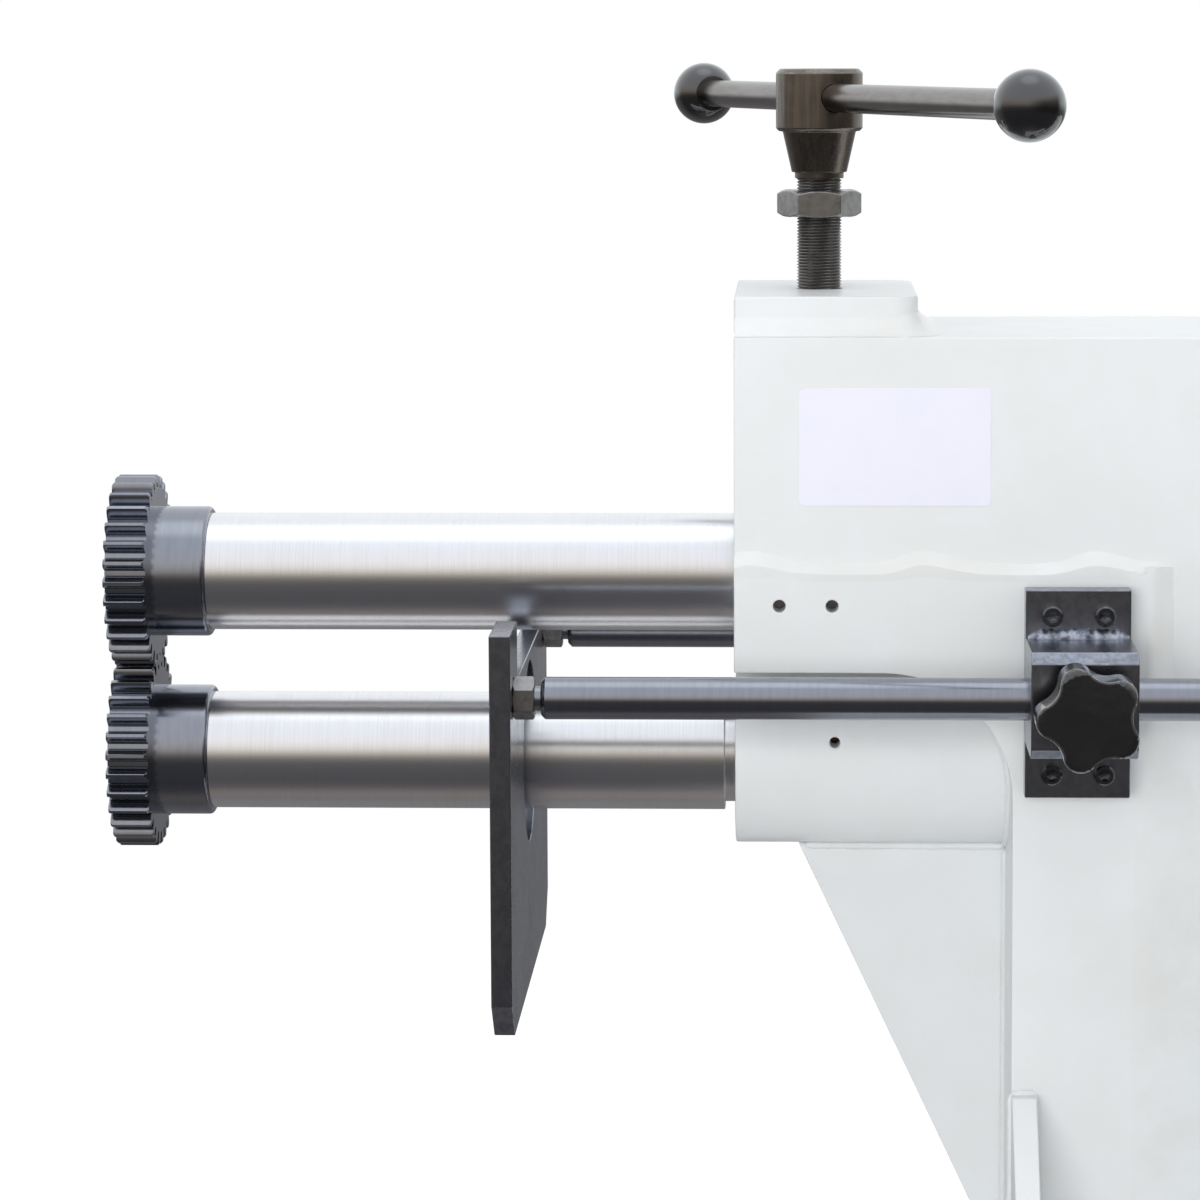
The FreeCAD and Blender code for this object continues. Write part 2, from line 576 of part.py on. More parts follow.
def outline(sketch, points, arcs=None):
    """Closed outline through points; arcs maps an edge to its radius and centre."""
    arcs = arcs or {}
    places = [Vector(size(x), size(y), 0) for x, y in points]
    ends = []
    for index, start in enumerate(places):
        end = places[(index + 1) % len(places)]
        forward = True
        edge = Part.LineSegment(start, end)
        if index in arcs:
            radius, centre_x, centre_y = arcs[index]
            centre = Vector(size(centre_x), size(centre_y), 0)
            edge, forward = short_arc(start, end, centre, size(radius))
        sketch.addGeometry(edge)
        ends.append((1, 2) if forward else (2, 1))
    for index in range(len(places)):
        following = (index + 1) % len(places)
        sketch.addConstraint(
            Sketcher.Constraint("Coincident", index, ends[index][1], following, ends[following][0])
        )
    for index, (x, y) in enumerate(points):
        pin_point(sketch, index, ends[index][0], x, y)
    for index, arc in arcs.items():
        number = sketch.addConstraint(Sketcher.Constraint("Radius", index, size(arc[0])))
        sketch.setExpression(f"Constraints[{number}]", str(arc[0]))
    return sketch


def circle(sketch, x, y, radius):
    """Circle tied to the sheet."""
    centre = Vector(size(x), size(y), 0)
    index = sketch.addGeometry(Part.Circle(centre, Vector(0, 0, 1), size(radius)))
    pin_point(sketch, index, 3, x, y)
    number = sketch.addConstraint(Sketcher.Constraint("Radius", index, size(radius)))
    sketch.setExpression(f"Constraints[{number}]", str(radius))
    return sketch


def pad(body, sketch, length, middle=False):
    """Extrude a sketch."""
    feature = body.newObject("PartDesign::Pad", f"{sketch.Name}_pad")
    feature.Profile = sketch
    feature.SideType = "Symmetric" if middle else "One side"
    return bind(feature, Length=length)


def revolve(body, sketch, axis):
    """Turn a sketch about its own horizontal or vertical axis."""
    feature = body.newObject("PartDesign::Revolution", f"{sketch.Name}_turned")
    feature.Profile = sketch
    feature.ReferenceAxis = (sketch, [axis])
    feature.Angle = 360
    return feature


def turned_along_x(name, x_steps, axis_height, bore="0"):
    """Round bar along X: steps are (x, radius) where each radius starts, then the end."""
    body = new_body(name, z=axis_height)
    points = [(x_steps[0][0], bore)]
    for (x, radius), (end, _) in zip(x_steps, x_steps[1:]):
        points += [(x, radius), (end, radius)]
    points.append((x_steps[-1][0], bore))
    sketch = outline(new_sketch(body, f"{name}_profile", "XZ_Plane"), points)
    revolve(body, sketch, "H_Axis")
    return body


def side_sketch_body(name, points, thickness, outer, arcs=None, circles=()):
    """Near-side plate in the XZ plane whose outer face stands at -Y by outer."""
    body = new_body(name)
    inner = f"({outer}) - ({thickness})"
    sketch = outline(new_sketch(body, f"{name}_outline", "XZ_Plane", inner), points, arcs)
    for place_x, place_z, radius in circles:
        circle(sketch, place_x, place_z, radius)
    pad(body, sketch, thickness)
    return body


# Base and body weldment


def base_plate():
    """Base plate with rounded corners and the bench bolt holes."""
    body = new_body("base_plate")
    corner = "dims.base_corner_radius"
    points = []
    arcs = {}
    for sign_x, sign_y, turn in ((1, -1, 0), (1, 1, 1), (-1, 1, 0), (-1, -1, 1)):
        edge_x = f"{sign_x} * {BASE_HALF_X}"
        edge_y = f"{sign_y} * {BASE_HALF_Y}"
        inset_x = f"{sign_x} * ({BASE_HALF_X} - {corner})"
        inset_y = f"{sign_y} * ({BASE_HALF_Y} - {corner})"
        arcs[len(points)] = (corner, inset_x, inset_y)
        ends = [(inset_x, edge_y), (edge_x, inset_y)]
        points += ends if turn == 0 else ends[::-1]
    sketch = outline(new_sketch(body, "base_outline", "XY_Plane"), points, arcs)
    for sign_x in (-1, 1):
        for sign_y in (-1, 1):
            circle(
                sketch,
                f"{sign_x} * ({BASE_HALF_X} - dims.anchor_margin)",
                f"{sign_y} * ({BASE_HALF_Y} - dims.anchor_margin)",
                "dims.anchor_hole_diameter / 2",
            )
    pad(body, sketch, "dims.base_thickness")
    node("base_plate", body)


def cheek_plates():
    """Thick lower cheeks: they carry the throat corner, the oil holes and the clamps."""
    arc_x = f"({COLUMN_FRONT} - dims.throat_radius)"
    arc_z = f"({ARM_UNDERSIDE} - dims.throat_radius)"
    back = f"({FRONT} + dims.cheek_length)"
    points = [
        (FRONT, ARM_UNDERSIDE),
        (FRONT, CHEEK_TOP),
        (back, CHEEK_TOP),
        (back, BASE_TOP),
        (COLUMN_FRONT, BASE_TOP),
        (COLUMN_FRONT, arc_z),
        (arc_x, ARM_UNDERSIDE),
    ]
    holes = []
    for sign in (-1, 1):
        hole_x = f"{FRONT} + dims.cheek_hole_setback + {sign} * dims.cheek_hole_spacing / 2"
        hole_z = f"{UPPER} - dims.cheek_hole_drop"
        holes.append((hole_x, hole_z, "dims.cheek_hole_diameter / 2"))
    for x, z in clamp_screw_places():
        holes.append((x, z, "dims.clamp_screw_diameter / 2 + dims.running_clearance"))
    near = side_sketch_body(
        "cheek_plate_near",
        points,
        "dims.cheek_wall",
        CHEEK_FACE,
        arcs={5: ("dims.throat_radius", arc_x, arc_z)},
        circles=holes,
    )
    node("cheek_plates", pair("cheek_plates", near))


def clamp_screw_places():
    """Four screw places in the XZ plane, round the clamp plate's centre."""
    places = []
    for sign_x in (-1, 1):
        for sign_z in (-1, 1):
            x = f"{CLAMP_X} + {sign_x} * dims.clamp_screw_spacing_x / 2"
            z = f"{ROD_AXIS} - dims.clamp_plate_drop + {sign_z} * dims.clamp_screw_spacing_z / 2"
            places.append((x, z))
    return places


def side_plates():
    """Side plates of the arm and of the column behind the cheeks."""
    cheek_back = f"({FRONT} + dims.cheek_length)"
    points = [
        (FRONT, CHEEK_TOP),
        (FRONT, WALL_TOP),
        (REAR, WALL_TOP),
        (REAR, BASE_TOP),
        (cheek_back, BASE_TOP),
        (cheek_back, CHEEK_TOP),
    ]
    near = side_sketch_body("side_plate_near", points, "dims.side_wall", HALF_ARM)
    node("side_plates", pair("side_plates", near))


def arm_top():
    """Plate that closes the arm, and the welded nut pad with the screw's thread."""
    plate = block(
        "top_plate_blank", (FRONT, f"-{HALF_ARM}", WALL_TOP), (REAR, HALF_ARM, ARM_TOP)
    )
    hole = rod(
        "top_plate_hole",
        "z",
        (SCREW_X, "0", WALL_TOP),
        "dims.screw_diameter / 2 + dims.screw_hole_clearance",
        "dims.top_plate_thickness",
    )
    node("arm_top_plate", cut("arm_top_plate", plate, hole))
    body = new_body("top_pad")
    back = f"({FRONT} + dims.pad_length)"
    side = "(dims.pad_width / 2)"
    round_x = f"({back} - dims.pad_corner_radius)"
    round_y = f"({side} - dims.pad_corner_radius)"
    points = [
        (FRONT, f"-{side}"),
        (round_x, f"-{side}"),
        (back, f"-{round_y}"),
        (back, round_y),
        (round_x, side),
        (FRONT, side),
    ]
    radius = "dims.pad_corner_radius"
    arcs = {1: (radius, round_x, f"-{round_y}"), 3: (radius, round_x, round_y)}
    sketch = outline(new_sketch(body, "pad_outline", "XY_Plane", ARM_TOP), points, arcs)
    circle(sketch, SCREW_X, "0", "dims.screw_diameter / 2 + dims.running_clearance")
    pad(body, sketch, "dims.pad_thickness")
    node("top_pad", body)


def front_web():
    """Bent plate between the cheeks: arm underside, throat corner and column front."""
    arc_x = f"({COLUMN_FRONT} - dims.throat_radius)"
    arc_z = f"({ARM_UNDERSIDE} - dims.throat_radius)"
    inner_radius = "(dims.throat_radius + dims.web_thickness)"
    inner_x = f"({COLUMN_FRONT} + dims.web_thickness)"
    inner_z = f"({ARM_UNDERSIDE} + dims.web_thickness)"
    points = [
        (FRONT, ARM_UNDERSIDE),
        (arc_x, ARM_UNDERSIDE),
        (COLUMN_FRONT, arc_z),
        (COLUMN_FRONT, BASE_TOP),
        (inner_x, BASE_TOP),
        (inner_x, arc_z),
        (arc_x, inner_z),
        (FRONT, inner_z),
    ]
    arcs = {1: ("dims.throat_radius", arc_x, arc_z), 5: (inner_radius, arc_x, arc_z)}
    body = new_body("front_web_plate")
    sketch = outline(new_sketch(body, "web_outline", "XZ_Plane"), points, arcs)
    pad(body, sketch, f"2 * {INNER}", middle=True)
    opening = rod(
        "web_opening",
        "x",
        (FRONT, "0", LOWER),
        f"{HOUSING_RADIUS} + dims.running_clearance",
        "dims.housing_length",
    )
    node("front_web", cut("front_web", body, opening))


def bulkhead(name, start):
    """Plate across the arm with a slot that lets the upper shaft rise."""
    floor = f"({ARM_UNDERSIDE} + dims.web_thickness)"
    radius = "(dims.shaft_diameter / 2 + dims.bulkhead_slot_clearance)"
    spring_line = f"({UPPER} + dims.bulkhead_slot_lift)"
    points = [
        (f"-{INNER}", floor),
        (f"-{INNER}", WALL_TOP),
        (INNER, WALL_TOP),
        (INNER, floor),
        (radius, floor),
        (radius, spring_line),
        ("0", f"{spring_line} + {radius}"),
        (f"-{radius}", spring_line),
        (f"-{radius}", floor),
    ]
    arcs = {5: (radius, "0", spring_line), 6: (radius, "0", spring_line)}
    body = new_body(name)
    pad(
        body,
        outline(new_sketch(body, f"{name}_outline", "YZ_Plane", start), points, arcs),
        "dims.bulkhead_thickness",
    )
    return body


def arm_bulkheads():
    """Bulkheads before and behind the slide block."""
    front = bulkhead("bulkhead_front", FRONT)
    back = bulkhead("bulkhead_back", f"({BLOCK_END} + dims.bulkhead_gap)")
    node("arm_bulkheads", group("arm_bulkheads", front, back))


def rear_wall():
    """Rear wall with the shaft bores."""
    plate = block(
        "rear_wall_blank",
        (f"{REAR} - dims.rear_wall_thickness", f"-{INNER}", BASE_TOP),
        (REAR, INNER, WALL_TOP),
    )
    start = f"{REAR} - dims.rear_wall_thickness"
    bores = [
        ("rear_lower_bore", LOWER, HOUSING_BORE),
        ("rear_upper_bore", UPPER, "dims.shaft_waist / 2 + dims.waist_clearance"),
        (
            "rear_pinion_bore",
            PINION_AXIS,
            "dims.pinion_stub_diameter / 2 + dims.running_clearance",
        ),
    ]
    tools = [
        rod(name, "x", (start, "0", z), radius, "dims.rear_wall_thickness")
        for name, z, radius in bores
    ]
    node("rear_wall", cut("rear_wall", plate, *tools))


def lower_housing():
    """Bearing tube of the lower shaft with its grease hole."""
    tube = turned_along_x(
        "housing_tube",
        [(FRONT, HOUSING_RADIUS), (f"{FRONT} + dims.housing_length", "0")],
        LOWER,
        bore=HOUSING_BORE,
    )
    hole = grease_hole("housing_grease_hole")
    node("lower_housing", cut("lower_housing", tube, hole))


def grease_hole(name):
    """Drill from the tube's middle plane out through its near side."""
    start = (f"{FRONT} + dims.grease_hole_setback", "0", f"{LOWER} + dims.grease_hole_rise")
    return rod(name, "-y", start, "dims.grease_hole_diameter / 2", f"2 * {HOUSING_RADIUS}")


def throat_gusset():
    """Rib under the tube, sloping back to the column."""
    tube_bottom = f"({LOWER} - {HOUSING_RADIUS})"
    points = [
        (f"{FRONT} + dims.gusset_setback", tube_bottom),
        (COLUMN_FRONT, tube_bottom),
        (COLUMN_FRONT, f"{LOWER} - dims.gusset_drop"),
    ]
    body = new_body("throat_gusset")
    sketch = outline(new_sketch(body, "gusset_outline", "XZ_Plane"), points)
    pad(body, sketch, "dims.gusset_thickness", middle=True)
    node("throat_gusset", body)


def buttress(name, start, root):
    """Near-side rib across the base, spreading from the body to the base's edge."""
    top = f"({LOWER} - dims.buttress_drop)"
    toe = f"-({BASE_HALF_Y} - dims.buttress_margin)"
    points = [
        (f"-{root}", BASE_TOP),
        (f"-{root}", top),
        (f"-({root} + dims.buttress_top_width)", top),
        (toe, f"{BASE_TOP} + dims.buttress_foot_height"),
        (toe, BASE_TOP),
    ]
    body = new_body(name)
    sketch = outline(new_sketch(body, f"{name}_outline", "YZ_Plane", start), points)
    pad(body, sketch, "dims.buttress_thickness")
    return body


def buttresses():
    """Four ribs: two at the column's front, two at its back."""
    front = buttress("buttress_front", COLUMN_FRONT, CHEEK_FACE)
    back = buttress("buttress_back", f"{REAR} - dims.buttress_thickness", HALF_ARM)
    fronts = mirrored("buttress_front_far", front)
    backs = mirrored("buttress_back_far", back)
    node("buttresses", group("buttresses", front, fronts, back, backs))


# Bushings and shafts


def shaft_bushings():
    """Bronze bushings of the lower shaft: tube mouth, tube inner end and rear wall."""
    bore = "dims.journal_diameter / 2 + dims.running_clearance"
    outside = f"{HOUSING_BORE} - dims.running_clearance"
    mouth = f"({FRONT} + dims.bushing_setback)"
    inner_end = f"({FRONT} + dims.housing_length)"
    back = f"({REAR} - dims.rear_wall_thickness)"
    front = turned_along_x(
        "bushing_mouth_ring",
        [(mouth, outside), (f"{mouth} + dims.front_bushing_length", "0")],
        LOWER,
        bore=bore,
    )
    hole = grease_hole("bushing_grease_hole")
    middle = turned_along_x(
        "bushing_inner",
        [(f"{inner_end} - dims.inner_bushing_length", outside), (inner_end, "0")],
        LOWER,
        bore=bore,
    )
    flange_start = f"({back} - dims.bushing_flange_thickness)"
    rear = turned_along_x(
        "bushing_rear",
        [
            (flange_start, f"{HOUSING_BORE} + dims.bushing_flange_step"),
            (back, outside),
            (f"{flange_start} + dims.rear_bushing_length", "0"),
        ],
        LOWER,
        bore=bore,
    )
    drilled = cut("bushing_mouth", front, hole)
    node("shaft_bushings", group("shaft_bushings", drilled, middle, rear))


def key_solid(name, axis_height, start, length, clearance="0"):
    """Key lying on top of a seat, or the room it needs."""
    half = f"(dims.key_width / 2 + {clearance})"
    floor = f"({axis_height} + dims.seat_diameter / 2 - dims.key_depth - {clearance})"
    return block(
        name,
        (f"{start} - {clearance}", f"-{half}", floor),
        (
            f"{start} + {length} + {clearance}",
            half,
            f"{floor} + dims.key_height + 2 * {clearance}",
        ),
    )


ROLL_KEY_START = f"({ROLL_BACK} - dims.roll_key_setback)"
ROLL_KEY_LENGTH = "dims.roll_key_length"
KEY_ROOM = "dims.running_clearance"


def keyed_shaft(name, axis_height, steps, gear_key):
    """Shaft with its two keyways and the tapped hole in its front end."""
    turned = turned_along_x(f"{name}_turned", steps, axis_height)
    roll_way = key_solid(
        f"{name}_roll_way", axis_height, ROLL_KEY_START, ROLL_KEY_LENGTH, KEY_ROOM
    )
    gear_way = key_solid(f"{name}_gear_way", axis_height, gear_key[0], gear_key[1], KEY_ROOM)
    tapped = rod(
        f"{name}_tapped",
        "x",
        (SHAFT_END, "0", axis_height),
        "dims.roll_screw_diameter / 2 + dims.running_clearance",
        "dims.roll_screw_length",
    )
    node(name, cut(name, turned, roll_way, gear_way, tapped))


GEAR_KEY_START = f"({GEAR_START} + dims.gear_key_inset)"
UPPER_GEAR_KEY = (GEAR_KEY_START, "(dims.timing_gear_face - 2 * dims.gear_key_inset)")
LOWER_GEAR_KEY = (
    GEAR_KEY_START,
    f"({BULL_START} + dims.bull_face - dims.gear_key_inset - {GEAR_KEY_START})",
)


def shafts():
    """Upper and lower shaft."""
    seat = "dims.seat_diameter / 2"
    shaft = "dims.shaft_diameter / 2"
    journal = "dims.journal_diameter / 2"
    keyed_shaft(
        "upper_shaft",
        UPPER,
        [
            (SHAFT_END, seat),
            (ROLL_BACK, shaft),
            (f"{BLOCK_START} - dims.block_shoulder_gap", journal),
            (f"{BLOCK_END} + dims.journal_overrun", "dims.shaft_waist / 2"),
            (f"{GEAR_START} - dims.gear_shoulder_gap", seat),
            (f"{GEAR_END} + dims.pivot_shoulder_gap", "dims.pivot_journal / 2"),
            (f"{PIVOT_X} + dims.pivot_ball_width / 2 + dims.pivot_overrun", "0"),
        ],
        UPPER_GEAR_KEY,
    )
    keyed_shaft(
        "lower_shaft",
        LOWER,
        [
            (SHAFT_END, seat),
            (ROLL_BACK, shaft),
            (f"{FRONT} - dims.shoulder_gap", journal),
            (f"{REAR} + dims.rear_journal_overrun", seat),
            (
                f"{BULL_START} + dims.bull_face + dims.gear_shoulder_gap",
                f"{seat} - dims.thrust_neck_step",
            ),
            (f"{SLEEVE_START} - dims.slide_clearance", "dims.thrust_journal / 2"),
            (f"{SPIGOT_END} + dims.slide_clearance", "dims.thrust_thread / 2"),
            (f"{SPIGOT_END} + dims.end_nut_thickness + dims.thread_overrun", "0"),
        ],
        LOWER_GEAR_KEY,
    )
    nut = hexagon_nut(
        "shaft_end_nut",
        "x",
        (f"{SPIGOT_END} + dims.slide_clearance", "0", LOWER),
        "dims.end_nut_flats",
        "dims.end_nut_thickness",
        "dims.thrust_thread / 2 + dims.running_clearance",
    )
    node("shaft_end_nut", nut)


# Gears and toothed rolls


def involute_offset(base_radius, radius):
    """Angle that an involute has turned at a radius."""
    if radius <= base_radius:
        return 0.0
    slope = math.sqrt((radius / base_radius) ** 2 - 1)
    return slope - math.atan(slope)


def polar(radius, angle):
    """Point in a gear's own plane."""
    return Vector(radius * math.cos(angle), radius * math.sin(angle), 0)


def gear_outline(teeth, first_tooth):
    """Closed wire of an involute gear, with a tooth centred at an angle."""
    module = size("dims.gear_module")
    pitch_radius = module * teeth / 2
    pressure = math.radians(size("dims.pressure_angle"))
    base_radius = pitch_radius * math.cos(pressure)
    tip_radius = pitch_radius + module
    root_radius = pitch_radius - size("dims.tooth_root_share") * module
    start_radius = max(base_radius, root_radius)
    thickness = math.pi * module / 2 - size("dims.tooth_thinning")
    half_angle = thickness / (2 * pitch_radius) + involute_offset(base_radius, pitch_radius)
    middle_radius = (start_radius + tip_radius) / 2

    def flank(radius):
        return half_angle - involute_offset(base_radius, radius)

    edges = []
    pitch_angle = 2 * math.pi / teeth
    for number in range(teeth):
        centre = first_tooth + number * pitch_angle
        rise = [
            polar(radius, centre - flank(radius))
            for radius in (start_radius, middle_radius, tip_radius)
        ]
        fall = [
            polar(radius, centre + flank(radius))
            for radius in (tip_radius, middle_radius, start_radius)
        ]
        foot_in = polar(root_radius, centre - flank(start_radius))
        foot_out = polar(root_radius, centre + flank(start_radius))
        next_foot = polar(root_radius, centre + pitch_angle - flank(start_radius))
        valley = polar(root_radius, centre + pitch_angle / 2)
        if root_radius < start_radius:
            edges.append(Part.LineSegment(foot_in, rise[0]).toShape())
        edges.append(Part.Arc(*rise).toShape())
        edges.append(Part.Arc(rise[2], polar(tip_radius, centre), fall[0]).toShape())
        edges.append(Part.Arc(*fall).toShape())
        if root_radius < start_radius:
            edges.append(Part.LineSegment(fall[2], foot_out).toShape())
        edges.append(Part.Arc(foot_out, valley, next_foot).toShape())
    return Part.Wire(edges)


def toothed_disc(name, teeth, first_tooth, start, face, axis_height):
    """Gear rim along X as a plain feature: its flanks follow the involute."""
    item = doc.addObject("Part::Feature", name)
    disc = Part.Face(gear_outline(int(teeth), math.radians(first_tooth)))
    item.Shape = disc.extrude(Vector(0, 0, size(face)))
    base = Vector(size(start), 0, size(axis_height))
    item.Placement = FreeCAD.Placement(base, AXIS_TURNS["x"])
    return item


TOOTH_UP = 180.0


def half_pitch(teeth):
    """Half of a gear's angular pitch in degrees."""
    return 180.0 / teeth


def toothed_roll(name, axis_height, first_tooth):
    """Toothed roll: rim, hub, bore, recess for its washer and keyway."""
    teeth = size("dims.roll_teeth")
    rim = toothed_disc(f"{name}_rim", teeth, first_tooth, ROLL_FRONT, "dims.roll_face", axis_height)
    chamfer = "dims.roll_hub_chamfer"
    hub_radius = "(dims.roll_hub_diameter / 2)"
    body = new_body(f"{name}_hub", z=axis_height)
    points = [
        (TOOTH_BACK, "0"),
        (TOOTH_BACK, hub_radius),
        (f"{ROLL_BACK} - {chamfer}", hub_radius),
        (ROLL_BACK, f"{hub_radius} - {chamfer}"),
        (ROLL_BACK, "0"),
    ]
    revolve(body, outline(new_sketch(body, f"{name}_hub_profile", "XZ_Plane"), points), "H_Axis")
    bore = rod(
        f"{name}_bore",
        "x",
        (ROLL_FRONT, "0", axis_height),
        "dims.seat_diameter / 2 + dims.running_clearance",
        "dims.roll_face + dims.roll_hub_length",
    )
    recess = rod(
        f"{name}_recess",
        "x",
        (ROLL_FRONT, "0", axis_height),
        "dims.roll_recess_diameter / 2",
        "dims.roll_recess_depth",
    )
    way = key_solid(f"{name}_way", axis_height, ROLL_KEY_START, ROLL_KEY_LENGTH, KEY_ROOM)
    node(name, cut(name, fuse(f"{name}_solid", rim, body), bore, recess, way))


def shaft_gear(name, teeth, first_tooth, start, face, axis_height, key, hub=None):
    """Gear on a seat with its keyway, and a hub at its front if it has one."""
    solid = toothed_disc(f"{name}_rim", teeth, first_tooth, start, face, axis_height)
    bore_start = start
    bore_length = face
    if hub:
        bore_start = f"({start} - {hub[1]})"
        bore_length = f"({face} + {hub[1]})"
        boss = rod(
            f"{name}_hub", "x", (bore_start, "0", axis_height), f"{hub[0]} / 2", bore_length
        )
        solid = fuse(f"{name}_solid", solid, boss)
    bore = rod(
        f"{name}_bore",
        "x",
        (bore_start, "0", axis_height),
        "dims.seat_diameter / 2 + dims.running_clearance",
        bore_length,
    )
    way = key_solid(f"{name}_way", axis_height, key[0], key[1], KEY_ROOM)
    node(name, cut(name, solid, bore, way))


def gears():
    """Rolls, timing gears, driven gear and pinion, all in mesh."""
    teeth = size("dims.roll_teeth")
    upper_tooth = TOOTH_UP + half_pitch(teeth)
    toothed_roll("upper_roll", UPPER, upper_tooth)
    toothed_roll("lower_roll", LOWER, TOOTH_UP)
    face = "dims.timing_gear_face"
    shaft_gear("upper_timing_gear", teeth, upper_tooth, GEAR_START, face, UPPER, UPPER_GEAR_KEY)
    shaft_gear("lower_timing_gear", teeth, TOOTH_UP, GEAR_START, face, LOWER, LOWER_GEAR_KEY)
    shaft_gear(
        "bull_gear",
        size("dims.bull_teeth"),
        TOOTH_UP,
        BULL_START,
        "dims.bull_face",
        LOWER,
        LOWER_GEAR_KEY,
        hub=("dims.bull_hub_diameter", "dims.bull_hub_length"),
    )
    pinion_teeth = size("dims.pinion_teeth")
    rim = toothed_disc(
        "pinion_rim",
        pinion_teeth,
        TOOTH_UP + half_pitch(pinion_teeth),
        PINION_START,
        "dims.pinion_face",
        PINION_AXIS,
    )
    stub_start = f"({REAR} - dims.rear_wall_thickness + dims.pinion_inset)"
    arbor = turned_along_x(
        "pinion_arbor",
        [
            (stub_start, "dims.pinion_stub_diameter / 2"),
            (f"{PINION_START} + dims.pinion_inset", "dims.pinion_shaft_diameter / 2"),
            (f"{COVER_BACK} + dims.gearbox_length - dims.pinion_end_inset", "0"),
        ],
        PINION_AXIS,
    )
    node("drive_pinion", fuse("drive_pinion", rim, arbor))


def roll_fixing(name, axis_height, gear_key):
    """Washer and countersunk screw in the roll's face, and the keys of that shaft."""
    washer_face = f"({ROLL_FRONT} + dims.roll_recess_depth - dims.roll_washer_thickness)"
    screw = "dims.roll_screw_diameter"
    head = "(dims.roll_screw_head / 2)"
    head_depth = f"({head} - {screw} / 2)"
    screw_end = f"{washer_face} + dims.roll_screw_length - dims.roll_screw_end_gap"
    disc = rod(
        f"{name}_disc",
        "x",
        (washer_face, "0", axis_height),
        "dims.roll_recess_diameter / 2 - dims.roll_washer_clearance",
        "dims.roll_washer_thickness",
    )
    body = new_body(f"{name}_screw_blank", z=axis_height)
    points = [
        (washer_face, "0"),
        (washer_face, head),
        (f"{washer_face} + {head_depth}", f"{screw} / 2"),
        (screw_end, f"{screw} / 2"),
        (screw_end, "0"),
    ]
    revolve(body, outline(new_sketch(body, f"{name}_profile", "XZ_Plane"), points), "H_Axis")
    socket = prism(
        f"{name}_socket",
        "x",
        (washer_face, "0", axis_height),
        "dims.roll_screw_socket",
        "dims.roll_screw_socket_depth",
    )
    screw_solid = cut(f"{name}_screw", body, socket)
    washer = cut(f"{name}_washer", disc, body)
    roll_key = key_solid(f"{name}_roll_key", axis_height, ROLL_KEY_START, ROLL_KEY_LENGTH)
    shaft_key = key_solid(f"{name}_gear_key", axis_height, gear_key[0], gear_key[1])
    node(name, group(name, washer, screw_solid, roll_key, shaft_key))


# Upper shaft's slide block, springs and pivot


def upper_carriage():
    """Slide block and bushing at the front, ball of the pivot at the back."""
    half = f"({INNER} - dims.slide_clearance)"
    blank = block(
        "block_blank", (BLOCK_START, f"-{half}", BLOCK_FLOOR), (BLOCK_END, half, BLOCK_TOP)
    )
    bush_outer = "(dims.journal_diameter / 2 + dims.bushing_wall)"
    bore = rod("block_bore", "x", (BLOCK_START, "0", UPPER), bush_outer, "dims.block_length")
    pockets = [
        rod(
            f"block_pocket_{number}",
            "z",
            (x, y, BLOCK_FLOOR),
            "dims.spring_diameter / 2 + dims.spring_pocket_clearance",
            "dims.spring_pocket_depth",
        )
        for number, (x, y) in enumerate(spring_places())
    ]
    node("slide_block", cut("slide_block", blank, bore, *pockets))
    bushing = turned_along_x(
        "block_bushing",
        [(BLOCK_START, f"{bush_outer} - dims.running_clearance"), (BLOCK_END, "0")],
        UPPER,
        bore="dims.journal_diameter / 2 + dims.running_clearance",
    )
    node("block_bushing", bushing)
    ball = doc.addObject("Part::Sphere", "pivot_sphere")
    bind(ball, Radius="dims.pivot_ball_diameter / 2")
    place(ball, PIVOT_X, "0", UPPER)
    ball_start = f"({PIVOT_X} - dims.pivot_ball_width / 2)"
    slice_rod = rod(
        "pivot_slice",
        "x",
        (ball_start, "0", UPPER),
        "dims.pivot_ball_diameter",
        "dims.pivot_ball_width",
    )
    truncated = doc.addObject("Part::Common", "pivot_ball_blank")
    truncated.Base = ball
    truncated.Tool = slice_rod
    bore = rod(
        "pivot_ball_bore",
        "x",
        (ball_start, "0", UPPER),
        "dims.pivot_journal / 2 + dims.running_clearance",
        "dims.pivot_ball_width",
    )
    node("pivot_ball", cut("pivot_ball", truncated, bore))


def spring_places():
    """Middles of the four lift springs, as x and y."""
    reach_x = "(dims.block_length / 2 - dims.spring_edge_x)"
    reach_y = f"({INNER} - dims.slide_clearance - dims.spring_edge_y)"
    return [
        (f"{SCREW_X} + {sign_x} * {reach_x}", f"{sign_y} * {reach_y}")
        for sign_x in (-1, 1)
        for sign_y in (-1, 1)
    ]


def lift_springs():
    """Coil springs that carry the slide block."""
    wire = size("dims.spring_wire")
    radius = size("dims.spring_diameter") / 2 - wire / 2
    floor = size(f"{ARM_UNDERSIDE} + dims.web_thickness")
    roof = size(f"{BLOCK_FLOOR} + dims.spring_pocket_depth")
    end_gap = size("dims.spring_end_gap")
    height = roof - floor - wire - 2 * end_gap
    turns = size("dims.spring_turns")
    spine = Part.makeHelix(height / turns, height, radius)
    profile = Part.Wire(Part.makeCircle(wire / 2, Vector(radius, 0, 0), Vector(0, 1, 0)))
    coil = Part.Wire(spine.Edges).makePipeShell([profile], True, True)
    springs = doc.addObject("Part::Feature", "lift_springs")
    places = [
        Vector(size(x), size(y), floor + wire / 2 + end_gap) for x, y in spring_places()
    ]
    solids = []
    for spot in places:
        copy = coil.copy()
        copy.translate(spot)
        solids.append(copy)
    springs.Shape = Part.makeCompound(solids)
    node("lift_springs", springs)


